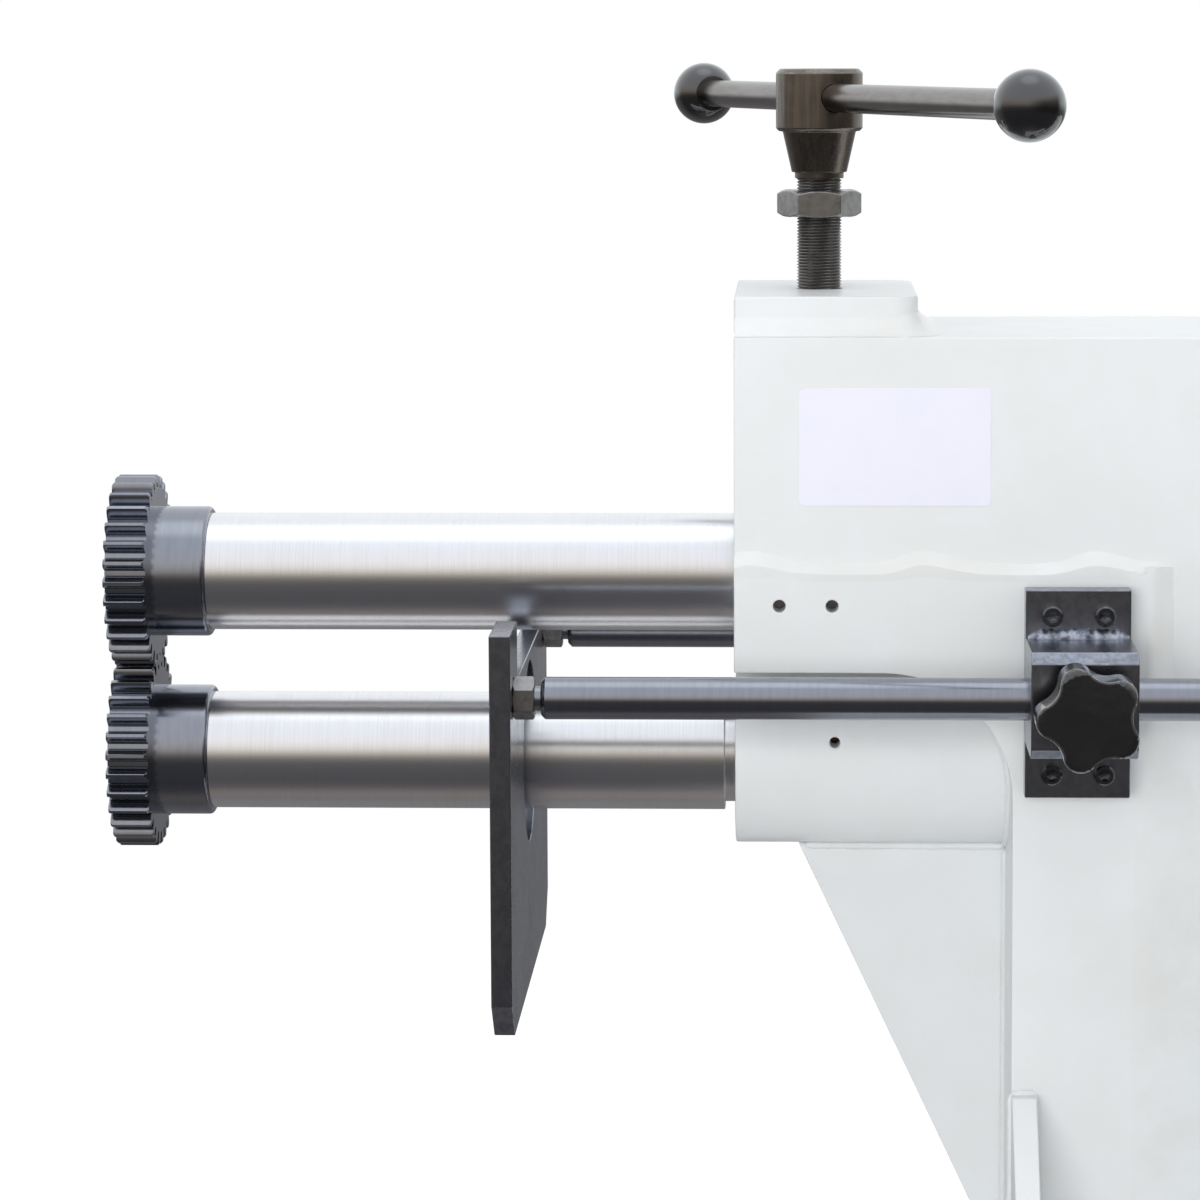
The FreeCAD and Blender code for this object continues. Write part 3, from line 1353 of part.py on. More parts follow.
def pivot_housing():
    """Flanged housing in the cover, closed at its end, with the ball's socket."""
    half = "(dims.pivot_ball_width / 2)"
    flange_start = COVER_BACK
    steps = [
        (f"{PIVOT_X} - {half}", "dims.pivot_housing_diameter / 2"),
        (flange_start, "dims.pivot_flange_diameter / 2"),
        (f"{flange_start} + dims.pivot_flange_thickness", "dims.pivot_housing_diameter / 2"),
        (f"{flange_start} + dims.pivot_cap_length", "0"),
    ]
    blank = turned_along_x("pivot_housing_blank", steps, UPPER)
    room_start = f"({PIVOT_X} - {half} - dims.cut_overrun)"
    socket = doc.addObject("Part::Sphere", "pivot_socket")
    bind(socket, Radius="dims.pivot_ball_diameter / 2 + dims.running_clearance")
    place(socket, PIVOT_X, "0", UPPER)
    room = rod(
        "pivot_room",
        "x",
        (room_start, "0", UPPER),
        "dims.pivot_journal / 2 + dims.pivot_room",
        f"{flange_start} + dims.pivot_cap_length - dims.pivot_cap_wall - {room_start}",
    )
    node("pivot_housing", cut("pivot_housing", blank, socket, room))


# Adjusting screw and T-handle


def adjusting_screw():
    """Screw, pressure foot, lock nut, hub, cross bar and balls."""
    foot_floor = f"({BLOCK_TOP} + dims.foot_gap)"
    foot_top = f"({foot_floor} + dims.foot_height)"
    nose_floor = f"({foot_top} - dims.screw_nose_length + dims.slide_clearance)"
    body = new_body("pressure_foot", x=SCREW_X)
    bore = "(dims.screw_nose_diameter / 2 + dims.running_clearance)"
    socket_floor = f"({foot_top} - dims.screw_nose_length)"
    points = [
        ("0", foot_floor),
        ("dims.foot_tip_diameter / 2", foot_floor),
        ("dims.foot_diameter / 2", f"{foot_floor} + dims.foot_tip_height"),
        ("dims.foot_diameter / 2", foot_top),
        (bore, foot_top),
        (bore, socket_floor),
        ("0", socket_floor),
    ]
    revolve(body, outline(new_sketch(body, "foot_profile", "XZ_Plane"), points), "V_Axis")
    node("pressure_foot", body)

    body = new_body("adjusting_screw", x=SCREW_X)
    shoulder = f"({foot_top} + dims.slide_clearance)"
    thread_end = f"({PAD_TOP} + dims.screw_thread_rise)"
    spigot = "(dims.hub_spigot_diameter / 2)"
    points = [
        ("0", nose_floor),
        ("dims.screw_nose_diameter / 2", nose_floor),
        ("dims.screw_nose_diameter / 2", shoulder),
        ("dims.screw_diameter / 2", shoulder),
        ("dims.screw_diameter / 2", thread_end),
        (spigot, thread_end),
        (spigot, f"{thread_end} + dims.hub_spigot_length"),
        ("0", f"{thread_end} + dims.hub_spigot_length"),
    ]
    revolve(body, outline(new_sketch(body, "screw_profile", "XZ_Plane"), points), "V_Axis")
    node("adjusting_screw", body)

    nut = hexagon_nut(
        "lock_nut",
        "z",
        (SCREW_X, "0", f"{PAD_TOP} + dims.lock_nut_rise"),
        "dims.lock_nut_flats",
        "dims.lock_nut_thickness",
        "dims.screw_diameter / 2 + dims.running_clearance",
    )
    node("lock_nut", nut)


def handle_hub():
    """Hub on the screw: collar, cone, drum, and bores for the screw and the bar."""
    body = new_body("hub_blank", x=SCREW_X)
    collar_floor = f"({PAD_TOP} + dims.screw_thread_rise)"
    cone_floor = f"({collar_floor} + dims.hub_collar_height)"
    drum_floor = f"({cone_floor} + dims.hub_cone_height)"
    drum_top = f"({drum_floor} + dims.hub_height)"
    radius = "(dims.hub_diameter / 2)"
    spigot = "(dims.hub_spigot_diameter / 2 + dims.running_clearance)"
    bore_end = f"{collar_floor} + dims.hub_spigot_length + dims.hub_spigot_gap"
    points = [
        (spigot, collar_floor),
        ("dims.hub_collar_diameter / 2", collar_floor),
        ("dims.hub_collar_diameter / 2", cone_floor),
        ("dims.hub_cone_foot / 2", cone_floor),
        ("dims.hub_cone_top / 2", drum_floor),
        (f"{radius} - dims.hub_foot_chamfer", drum_floor),
        (radius, f"{drum_floor} + dims.hub_foot_chamfer"),
        (radius, f"{drum_top} - dims.hub_top_chamfer"),
        (f"{radius} - dims.hub_top_chamfer", drum_top),
        ("0", drum_top),
        ("0", bore_end),
        (spigot, bore_end),
    ]
    revolve(body, outline(new_sketch(body, "hub_profile", "XZ_Plane"), points), "V_Axis")
    bar_bore = "dims.bar_diameter / 2 + dims.running_clearance"
    bore = cross_rod("hub_bore", "-dims.hub_diameter", "dims.hub_diameter", bar_bore)
    node("screw_hub", cut("screw_hub", body, bore))


def cross_rod(name, start, end, radius):
    """Cylinder along the cross bar's line, from start to end past the screw's axis."""
    item = doc.addObject("Part::Cylinder", name)
    angle = size("dims.bar_angle")
    along = Rotation(Vector(0, 0, 1), angle).multiply(Rotation(Vector(0, 1, 0), 90))
    item.Placement = FreeCAD.Placement(Vector(), along)
    bind(item, Radius=radius, Height=f"({end}) - ({start})")
    return place(item, *bar_point(start))


def bar_point(distance):
    """Point on the cross bar's line, as three expressions."""
    return (
        f"{SCREW_X} + ({distance}) * cos(dims.bar_angle)",
        f"({distance}) * sin(dims.bar_angle)",
        f"{PAD_TOP} + dims.bar_rise",
    )


BAR_NEAR = "(dims.bar_length / 2 + dims.bar_offset)"
BAR_FAR = "(dims.bar_offset - dims.bar_length / 2)"


def cross_bar():
    """Sliding bar and the two balls on its ends."""
    bar = cross_rod("cross_bar", BAR_FAR, BAR_NEAR, "dims.bar_diameter / 2")
    node("cross_bar", bar)
    balls = []
    for name, distance in (("ball_near", BAR_NEAR), ("ball_far", BAR_FAR)):
        ball = doc.addObject("Part::Sphere", f"{name}_blank")
        bind(ball, Radius="dims.ball_diameter / 2")
        place(ball, *bar_point(distance))
        hole = cross_rod(
            f"{name}_hole", BAR_FAR, BAR_NEAR, "dims.bar_diameter / 2 + dims.running_clearance"
        )
        balls.append(cut(name, ball, hole))
    node("ball_knobs", group("ball_knobs", *balls))


# Depth stop and its clamps


def depth_stop():
    """Stop plate, guide rods and their nuts."""
    half = f"({ROD_Y} + dims.stop_ear_margin)"
    notch = "(dims.stop_notch_width / 2)"
    notch_floor = f"({UPPER} - dims.roll_hub_diameter / 2 - dims.stop_notch_clearance)"
    bottom = f"({STOP_TOP} - dims.stop_height)"
    chamfer = "dims.stop_chamfer"
    points = [
        (f"-{half}", STOP_TOP),
        (f"-{notch}", STOP_TOP),
        (f"-{notch}", notch_floor),
        (notch, notch_floor),
        (notch, STOP_TOP),
        (half, STOP_TOP),
        (half, f"{bottom} + {chamfer}"),
        (f"{half} - {chamfer}", bottom),
        (f"-({half} - {chamfer})", bottom),
        (f"-{half}", f"{bottom} + {chamfer}"),
    ]
    body = new_body("stop_plate")
    sketch = outline(new_sketch(body, "stop_outline", "YZ_Plane", STOP_FRONT), points)
    circle(sketch, "0", LOWER, "dims.roll_hub_diameter / 2 + dims.stop_hole_clearance")
    for sign in (-1, 1):
        hole_radius = "dims.rod_thread_diameter / 2 + dims.running_clearance"
        circle(sketch, f"{sign} * {ROD_Y}", ROD_AXIS, hole_radius)
    pad(body, sketch, "dims.stop_thickness")
    node("stop_plate", body)

    start = f"({STOP_BACK} + dims.rod_shoulder_gap)"
    end = f"({start} + dims.rod_length)"
    radius = "(dims.rod_diameter / 2)"
    thread = "(dims.rod_thread_diameter / 2)"
    chamfer = "dims.rod_chamfer"
    guide = new_body("guide_rod_near", y=f"-{ROD_Y}", z=ROD_AXIS)
    points = [
        (STOP_FRONT, "0"),
        (STOP_FRONT, thread),
        (start, thread),
        (start, f"{radius} - {chamfer}"),
        (f"{start} + {chamfer}", radius),
        (f"{end} - {chamfer}", radius),
        (end, f"{radius} - {chamfer}"),
        (end, "0"),
    ]
    revolve(guide, outline(new_sketch(guide, "guide_profile", "XZ_Plane"), points), "H_Axis")
    node("guide_rods", pair("guide_rods", guide))

    nut = hexagon_nut(
        "stop_nut_near",
        "x",
        (STOP_BACK, f"-{ROD_Y}", ROD_AXIS),
        "dims.stop_nut_flats",
        "dims.stop_nut_thickness",
        f"{thread} + dims.running_clearance",
    )
    node("stop_nuts", pair("stop_nuts", nut))


def clamps():
    """Plate, block, screws, brass pad and star knob on each side."""
    half = "(dims.clamp_plate_width / 2)"
    centre = f"({ROD_AXIS} - dims.clamp_plate_drop)"
    reach = "(dims.clamp_plate_height / 2)"
    corners = [
        (f"{CLAMP_X} - {half}", f"{centre} - {reach}"),
        (f"{CLAMP_X} + {half}", f"{centre} - {reach}"),
        (f"{CLAMP_X} + {half}", f"{centre} + {reach}"),
        (f"{CLAMP_X} - {half}", f"{centre} + {reach}"),
    ]
    clearance = "dims.clamp_screw_diameter / 2 + dims.screw_clearance"
    holes = [(x, z, clearance) for x, z in clamp_screw_places()]
    plate = side_sketch_body(
        "clamp_plate_near", corners, "dims.clamp_plate_thickness", CLAMP_PLATE_FACE, circles=holes
    )
    node("clamp_plates", pair("clamp_plates", plate))

    bevel = "dims.clamp_block_bevel"
    rise = "(dims.clamp_block_height / 2)"
    body = new_body("clamp_block_blank")
    points = [
        (f"-{CLAMP_PLATE_FACE}", f"{ROD_AXIS} - {rise}"),
        (f"-{CLAMP_PLATE_FACE}", f"{ROD_AXIS} + {rise}"),
        (f"-({CLAMP_BLOCK_FACE} - {bevel})", f"{ROD_AXIS} + {rise}"),
        (f"-{CLAMP_BLOCK_FACE}", f"{ROD_AXIS} + {rise} - {bevel}"),
        (f"-{CLAMP_BLOCK_FACE}", f"{ROD_AXIS} - {rise} + {bevel}"),
        (f"-({CLAMP_BLOCK_FACE} - {bevel})", f"{ROD_AXIS} - {rise}"),
    ]
    start = f"{CLAMP_X} - {half}"
    sketch = outline(new_sketch(body, "clamp_block_outline", "YZ_Plane", start), points)
    circle(sketch, f"-{ROD_Y}", ROD_AXIS, "dims.rod_diameter / 2 + dims.running_clearance")
    pad(body, sketch, "dims.clamp_plate_width")
    stud_hole = rod(
        "clamp_stud_hole",
        "-y",
        (CLAMP_X, f"-{ROD_Y}", ROD_AXIS),
        "dims.knob_stud_diameter / 2 + dims.running_clearance",
        f"{CLAMP_BLOCK_FACE} - {ROD_Y}",
    )
    node("clamp_blocks", pair("clamp_blocks", cut("clamp_block_near", body, stud_hole)))

    screws = [
        socket_screw(f"clamp_screw_{number}", "-y", (x, f"-{CLAMP_PLATE_FACE}", z), "clamp_screw")
        for number, (x, z) in enumerate(clamp_screw_places())
    ]
    node("clamp_screws", pair("clamp_screws", group("clamp_screws_near", *screws)))

    for side, axis, sign in (("near", "-y", "-"), ("far", "y", "")):
        pad_start = f"({ROD_Y} + dims.rod_diameter / 2 + dims.slide_clearance)"
        brass = rod(
            f"{side}_clamp_pad",
            axis,
            (CLAMP_X, f"{sign}{pad_start}", ROD_AXIS),
            "dims.knob_stud_diameter / 2",
            "dims.knob_pad_length",
        )
        node(f"{side}_clamp_pad", brass)
        node(f"{side}_clamp_knob", star_knob(side, axis, sign, pad_start))


def star_knob(side, axis, sign, pad_start):
    """Five-lobed knob with a bevelled rim, on its stud."""
    stud_start = f"({pad_start} + dims.knob_pad_length + dims.slide_clearance)"
    knob_start = f"({CLAMP_BLOCK_FACE} + dims.knob_gap)"
    stud = rod(
        f"{side}_knob_stud",
        axis,
        (CLAMP_X, f"{sign}{stud_start}", ROD_AXIS),
        "dims.knob_stud_diameter / 2",
        f"{knob_start} - {stud_start} + dims.knob_stud_inset",
    )
    head = doc.addObject("Part::Feature", f"{side}_knob_head")
    head.Shape = knob_shape()
    head.Placement = FreeCAD.Placement(
        Vector(size(CLAMP_X), size(f"{sign}{knob_start}"), size(ROD_AXIS)), AXIS_TURNS[axis]
    )
    return fuse(f"{side}_clamp_knob", stud, head)


def knob_shape():
    """Lobes and hollows as tangent arcs, cut by a cone that bevels the outer rim."""
    lobes = int(size("dims.knob_lobes"))
    lobe = size("dims.knob_lobe_radius")
    valley = size("dims.knob_valley_radius")
    lobe_centre = size("dims.knob_radius") - lobe
    half_step = math.pi / lobes
    reach = lobe + valley
    middle = lobe_centre * math.cos(half_step)
    valley_centre = middle + math.sqrt(middle**2 - lobe_centre**2 + reach**2)
    first_lobe = math.radians(size("dims.knob_turn"))
    edges = []
    for number in range(lobes):
        angle = first_lobe + 2 * half_step * number
        centre = polar(lobe_centre, angle)
        before = polar(valley_centre, angle - half_step)
        after = polar(valley_centre, angle + half_step)
        first = centre + (before - centre) * (lobe / reach)
        last = centre + (after - centre) * (lobe / reach)
        edges.append(Part.Arc(first, polar(lobe_centre + lobe, angle), last).toShape())
        following = polar(lobe_centre, angle + 2 * half_step)
        next_first = following + (after - following) * (lobe / reach)
        bottom = polar(valley_centre - valley, angle + half_step)
        edges.append(Part.Arc(last, bottom, next_first).toShape())
    thickness = size("dims.knob_thickness")
    radius = size("dims.knob_radius")
    chamfer = size("dims.knob_chamfer")
    body = Part.Face(Part.Wire(edges)).extrude(Vector(0, 0, thickness))
    outer = radius + chamfer / 2
    barrel = Part.makeCylinder(outer, thickness - chamfer)
    foot = Vector(0, 0, thickness - chamfer)
    rim = Part.makeCone(outer, outer - 2 * chamfer, chamfer, foot)
    return body.common(barrel.fuse(rim))


def socket_screw(name, axis, start, prefix):
    """Socket head screw whose head stands out from a face, with its shank behind the face."""
    head_height = f"dims.{prefix}_diameter"
    depth = f"({head_height} * dims.socket_depth_share)"
    shank_length = f"dims.{prefix}_length"
    shank_start = along(start, axis, f"-({shank_length})")
    head = rod(f"{name}_head", axis, start, f"dims.{prefix}_head / 2", head_height)
    shank = rod(f"{name}_shank", axis, shank_start, f"{head_height} / 2", shank_length)
    socket_start = along(start, axis, f"{head_height} - {depth}")
    socket = prism(f"{name}_socket", axis, socket_start, f"dims.{prefix}_socket", depth)
    return cut(name, fuse(f"{name}_solid", head, shank), socket)


# Gear case, adjuster and motor


def rounded_rectangle(sketch, half_width, bottom, top, radius):
    """Outline with four equal corner arcs in the YZ plane."""
    left = f"-({half_width})"
    right = f"({half_width})"
    inner_left = f"({left} + {radius})"
    inner_right = f"({right} - {radius})"
    low = f"({bottom} + {radius})"
    high = f"({top} - {radius})"
    points = [
        (inner_left, bottom),
        (inner_right, bottom),
        (right, low),
        (right, high),
        (inner_right, top),
        (inner_left, top),
        (left, high),
        (left, low),
    ]
    arcs = {
        1: (radius, inner_right, low),
        3: (radius, inner_right, high),
        5: (radius, inner_left, high),
        7: (radius, inner_left, low),
    }
    return outline(sketch, points, arcs)


def cover_screw_places():
    """Nine screw places round the cover, as y and z, clear of the gearbox."""
    side = f"({CASE_HALF_WIDTH} + dims.case_flange / 2)"
    top = f"({CASE_TOP} + dims.case_flange / 2)"
    bottom = f"({CASE_BOTTOM} - dims.case_flange / 2)"
    places = []
    first = f"({bottom} + dims.cover_screw_end_margin)"
    last = f"({top} - dims.cover_screw_end_margin)"
    rows = int(size("dims.cover_screw_rows"))
    for sign in ("-", ""):
        for row in range(rows):
            height = f"{first} + ({last} - {first}) * {row} / {rows - 1}"
            places.append((f"{sign}{side}", height))
    places.append(("0", top))
    return places


def gear_case():
    """Case behind the rear wall, its cover and the cover screws."""
    corner = "dims.case_corner_radius"
    wall = "dims.case_wall"
    body = new_body("case_shell")
    sketch = new_sketch(body, "case_outline", "YZ_Plane", REAR)
    rounded_rectangle(sketch, CASE_HALF_WIDTH, CASE_BOTTOM, CASE_TOP, corner)
    pad(body, sketch, f"{CASE_BACK} - {REAR}")
    rim = new_body("case_rim")
    flange = "dims.case_flange"
    rim_start = f"{CASE_BACK} - dims.case_flange_thickness"
    sketch = new_sketch(rim, "case_rim_outline", "YZ_Plane", rim_start)
    rounded_rectangle(
        sketch,
        f"{CASE_HALF_WIDTH} + {flange}",
        f"({CASE_BOTTOM} - {flange})",
        f"({CASE_TOP} + {flange})",
        corner,
    )
    pad(rim, sketch, "dims.case_flange_thickness")
    room = new_body("case_room")
    sketch = new_sketch(room, "case_room_outline", "YZ_Plane", f"{REAR} + {wall}")
    rounded_rectangle(
        sketch,
        f"{CASE_HALF_WIDTH} - {wall}",
        f"({CASE_BOTTOM} + {wall})",
        f"({CASE_TOP} - {wall})",
        f"({corner} - {wall})",
    )
    pad(room, sketch, f"{CASE_BACK} - {REAR}")
    tapped = "dims.cover_screw_diameter / 2 + dims.running_clearance"
    holes = [
        rod(f"case_tapped_{number}", "x", (rim_start, y, z), tapped, "dims.case_flange_thickness")
        for number, (y, z) in enumerate(cover_screw_places())
    ]
    bores = [
        rod("case_lower_bore", "x", (REAR, "0", LOWER), HOUSING_BORE, wall),
        rod(
            "case_upper_bore",
            "x",
            (REAR, "0", UPPER),
            "dims.shaft_waist / 2 + dims.waist_clearance",
            wall,
        ),
        rod(
            "case_pinion_bore",
            "x",
            (REAR, "0", PINION_AXIS),
            "dims.pinion_stub_diameter / 2 + dims.pinion_bore_clearance",
            wall,
        ),
    ]
    node("gear_case", cut("gear_case", fuse("case_solid", body, rim), room, *holes, *bores))

    cover = new_body("gear_case_cover")
    sketch = new_sketch(cover, "cover_outline", "YZ_Plane", CASE_BACK)
    rounded_rectangle(
        sketch,
        f"{CASE_HALF_WIDTH} + {flange}",
        f"({CASE_BOTTOM} - {flange})",
        f"({CASE_TOP} + {flange})",
        corner,
    )
    for y, z in cover_screw_places():
        circle(sketch, y, z, "dims.cover_screw_diameter / 2 + dims.screw_clearance")
    circle(sketch, "0", UPPER, "dims.pivot_housing_diameter / 2 + dims.running_clearance")
    circle(sketch, "0", LOWER, "dims.sleeve_diameter / 2")
    pinion_room = "dims.pinion_shaft_diameter / 2 + dims.pinion_bore_clearance"
    circle(sketch, "0", PINION_AXIS, pinion_room)
    pad(cover, sketch, "dims.cover_thickness")
    node("gear_case_cover", cover)

    screws = [
        socket_screw(f"cover_screw_{number}", "x", (COVER_BACK, y, z), "cover_screw")
        for number, (y, z) in enumerate(cover_screw_places())
    ]
    node("gear_cover_screws", group("gear_cover_screws", *screws))


def lower_adjuster():
    """Boss on the cover, thrust sleeve in it and the wheel that moves them."""
    boss = turned_along_x(
        "adjuster_boss",
        [(COVER_BACK, "dims.boss_diameter / 2"), (f"{COVER_BACK} + dims.boss_length", "0")],
        LOWER,
        bore="dims.sleeve_diameter / 2",
    )
    node("adjuster_boss", boss)
    sleeve = turned_along_x(
        "thrust_sleeve",
        [
            (SLEEVE_START, "dims.sleeve_diameter / 2 - dims.running_clearance"),
            (SLEEVE_END, "dims.sleeve_spigot_diameter / 2"),
            (SPIGOT_END, "0"),
        ],
        LOWER,
        bore="dims.thrust_journal / 2 + dims.running_clearance",
    )
    node("thrust_sleeve", sleeve)
    wheel_start = f"({SLEEVE_END} + dims.slide_clearance)"
    disc = rod(
        "wheel_disc",
        "x",
        (wheel_start, "0", LOWER),
        "dims.wheel_diameter / 2",
        "dims.wheel_thickness",
    )
    bore = rod(
        "wheel_bore",
        "x",
        (wheel_start, "0", LOWER),
        "dims.sleeve_spigot_diameter / 2 + dims.running_clearance",
        "dims.wheel_thickness",
    )
    grips = []
    count = int(size("dims.wheel_grips"))
    reach = "(dims.wheel_diameter / 2 + dims.wheel_grip_offset)"
    for number in range(count):
        angle = f"({number} * 360 / {count})"
        start = (wheel_start, f"{reach} * cos({angle})", f"{LOWER} + {reach} * sin({angle})")
        grips.append(
            rod(
                f"wheel_grip_{number}",
                "x",
                start,
                "dims.wheel_grip_radius",
                "dims.wheel_thickness",
            )
        )
    node("adjusting_wheel", cut("adjusting_wheel", disc, bore, *grips))


def gearmotor():
    """Worm gearbox on the cover with its motor across the machine."""
    half = "(dims.gearbox_width / 2)"
    end = f"({COVER_BACK} + dims.gearbox_length)"
    case = block(
        "gearbox_case",
        (COVER_BACK, f"-{half}", f"{PINION_AXIS} - dims.gearbox_drop"),
        (end, half, f"{PINION_AXIS} + dims.gearbox_rise"),
    )
    doc.recompute()
    rounded = doc.addObject("Part::Fillet", "gearbox_rounded")
    rounded.Base = case
    radius = size("dims.gearbox_edge_radius")
    rounded.Edges = [(number, radius, radius) for number in range(1, 13)]
    flange = rod(
        "motor_flange",
        "y",
        (WORM_X, half, WORM_AXIS),
        "dims.motor_flange_diameter / 2",
        "dims.motor_flange_thickness",
    )
    hub = rod(
        "gearbox_hub",
        "x",
        (COVER_BACK, "0", PINION_AXIS),
        "dims.gearbox_hub_diameter / 2",
        "dims.gearbox_length + dims.gearbox_hub_rise",
    )
    worm_cap = rod(
        "worm_cap",
        "-y",
        (WORM_X, f"-{half}", WORM_AXIS),
        "dims.worm_cap_diameter / 2",
        "dims.worm_cap_height",
    )
    bore = rod(
        "gearbox_bore",
        "x",
        (COVER_BACK, "0", PINION_AXIS),
        "dims.pinion_shaft_diameter / 2 + dims.running_clearance",
        "dims.gearbox_length - dims.gearbox_end_wall",
    )
    solid = fuse("gearbox_solid", rounded, flange, hub, worm_cap)
    node("gearbox_housing", cut("gearbox_housing", solid, bore))

    body = new_body("motor_body")
    body.Placement.Rotation = Rotation(Vector(1, 0, 0), -90)
    place(body, WORM_X, MOTOR_START, WORM_AXIS)
    sketch = new_sketch(body, "motor_barrel", "XY_Plane")
    circle(sketch, "0", "0", "dims.motor_diameter / 2")
    pad(body, sketch, "dims.motor_length")
    fin_half = "(dims.motor_fin_thickness / 2)"
    root = "(dims.motor_diameter / 2 - dims.motor_fin_root)"
    tip = "(dims.motor_diameter / 2 + dims.motor_fin_height)"
    points = [(root, f"-{fin_half}"), (tip, f"-{fin_half}"), (tip, fin_half), (root, fin_half)]
    start = "dims.motor_fin_end_gap"
    sketch = outline(new_sketch(body, "motor_fin", "XY_Plane", start), points)
    fin = pad(body, sketch, f"dims.motor_length - dims.fan_cover_lap - 2 * {start}")
    pattern = body.newObject("PartDesign::PolarPattern", "motor_fin_ring")
    pattern.Originals = [fin]
    pattern.Axis = (sketch, ["N_Axis"])
    pattern.Angle = 360
    bind(pattern, Occurrences="dims.motor_fins")
    body.Tip = pattern
    saddle_half = "(dims.terminal_width / 2 - dims.saddle_inset)"
    saddle = block(
        "motor_saddle",
        (
            f"{WORM_X} - {saddle_half}",
            f"{TERMINAL_START} + dims.saddle_inset",
            f"{WORM_AXIS} + dims.motor_diameter / 2 - dims.saddle_depth",
        ),
        (
            f"{WORM_X} + {saddle_half}",
            f"{TERMINAL_END} - dims.saddle_inset",
            TERMINAL_FLOOR,
        ),
    )
    shield = rod(
        "motor_end_shield",
        "y",
        (WORM_X, f"{MOTOR_END} - dims.fan_cover_lap", WORM_AXIS),
        "dims.fan_cover_diameter / 2 - dims.fan_cover_wall",
        "dims.fan_cover_lap",
    )
    node("motor_body", fuse("motor_with_saddle", body, saddle, shield))
    node("terminal_box", terminal_box())
    node("fan_cover", fan_cover())


def terminal_box():
    """Terminal box on the motor's saddle, with its lid's rim."""
    half = "(dims.terminal_width / 2)"
    over = "dims.terminal_lid_overhang"
    case = block(
        "terminal_case",
        (f"{WORM_X} - {half}", TERMINAL_START, TERMINAL_FLOOR),
        (f"{WORM_X} + {half}", TERMINAL_END, LID_FLOOR),
    )
    lid = block(
        "terminal_lid",
        (f"{WORM_X} - {half} - {over}", f"{TERMINAL_START} - {over}", LID_FLOOR),
        (
            f"{WORM_X} + {half} + {over}",
            f"{TERMINAL_END} + {over}",
            f"{LID_FLOOR} + dims.terminal_lid_height",
        ),
    )
    return fuse("terminal_box", case, lid)


def fan_cover():
    """Thin drum over the fan with radial slots in its end."""
    start = (WORM_X, f"{MOTOR_END} - dims.fan_cover_lap", WORM_AXIS)
    shell = rod(
        "fan_shell",
        "y",
        start,
        "dims.fan_cover_diameter / 2",
        "dims.fan_cover_length",
    )
    room = rod(
        "fan_room",
        "y",
        start,
        "dims.fan_cover_diameter / 2 - dims.fan_cover_wall",
        "dims.fan_cover_length - dims.fan_cover_wall",
    )
    tools = [room]
    count = int(size("dims.fan_cover_slots"))
    for number in range(count):
        slot = doc.addObject("Part::Box", f"fan_slot_{number}")
        bind(
            slot,
            Length="dims.fan_slot_length",
            Width="dims.fan_slot_width",
            Height="dims.fan_cover_wall + 2 * dims.cut_overrun",
        )
        around = Rotation(Vector(0, 0, 1), number * 360 / count)
        slot.Placement = FreeCAD.Placement(Vector(), AXIS_TURNS["y"].multiply(around))
        angle = f"({number} * 360 / {count})"
        first = "dims.fan_slot_start"
        side = "dims.fan_slot_width / 2"
        place(
            slot,
            f"{WORM_X} + {first} * cos({angle}) + {side} * sin({angle})",
            f"{start[1]} + dims.fan_cover_length - dims.fan_cover_wall - dims.cut_overrun",
            f"{WORM_AXIS} - {first} * sin({angle}) + {side} * cos({angle})",
        )
        tools.append(slot)
    return cut("fan_cover", shell, *tools)


# Controls


def control_places():
    """Middles of the three controls on the panel, as x and z."""
    middle = f"({CONTROL_X} + dims.control_length / 2)"
    row = "(dims.control_floor_height + dims.button_row_rise)"
    return {
        "stop": (f"{middle} - dims.button_spacing / 2", row),
        "start": (f"{middle} + dims.button_spacing / 2", row),
        "selector": (middle, "(dims.control_floor_height + dims.selector_rise)"),
    }


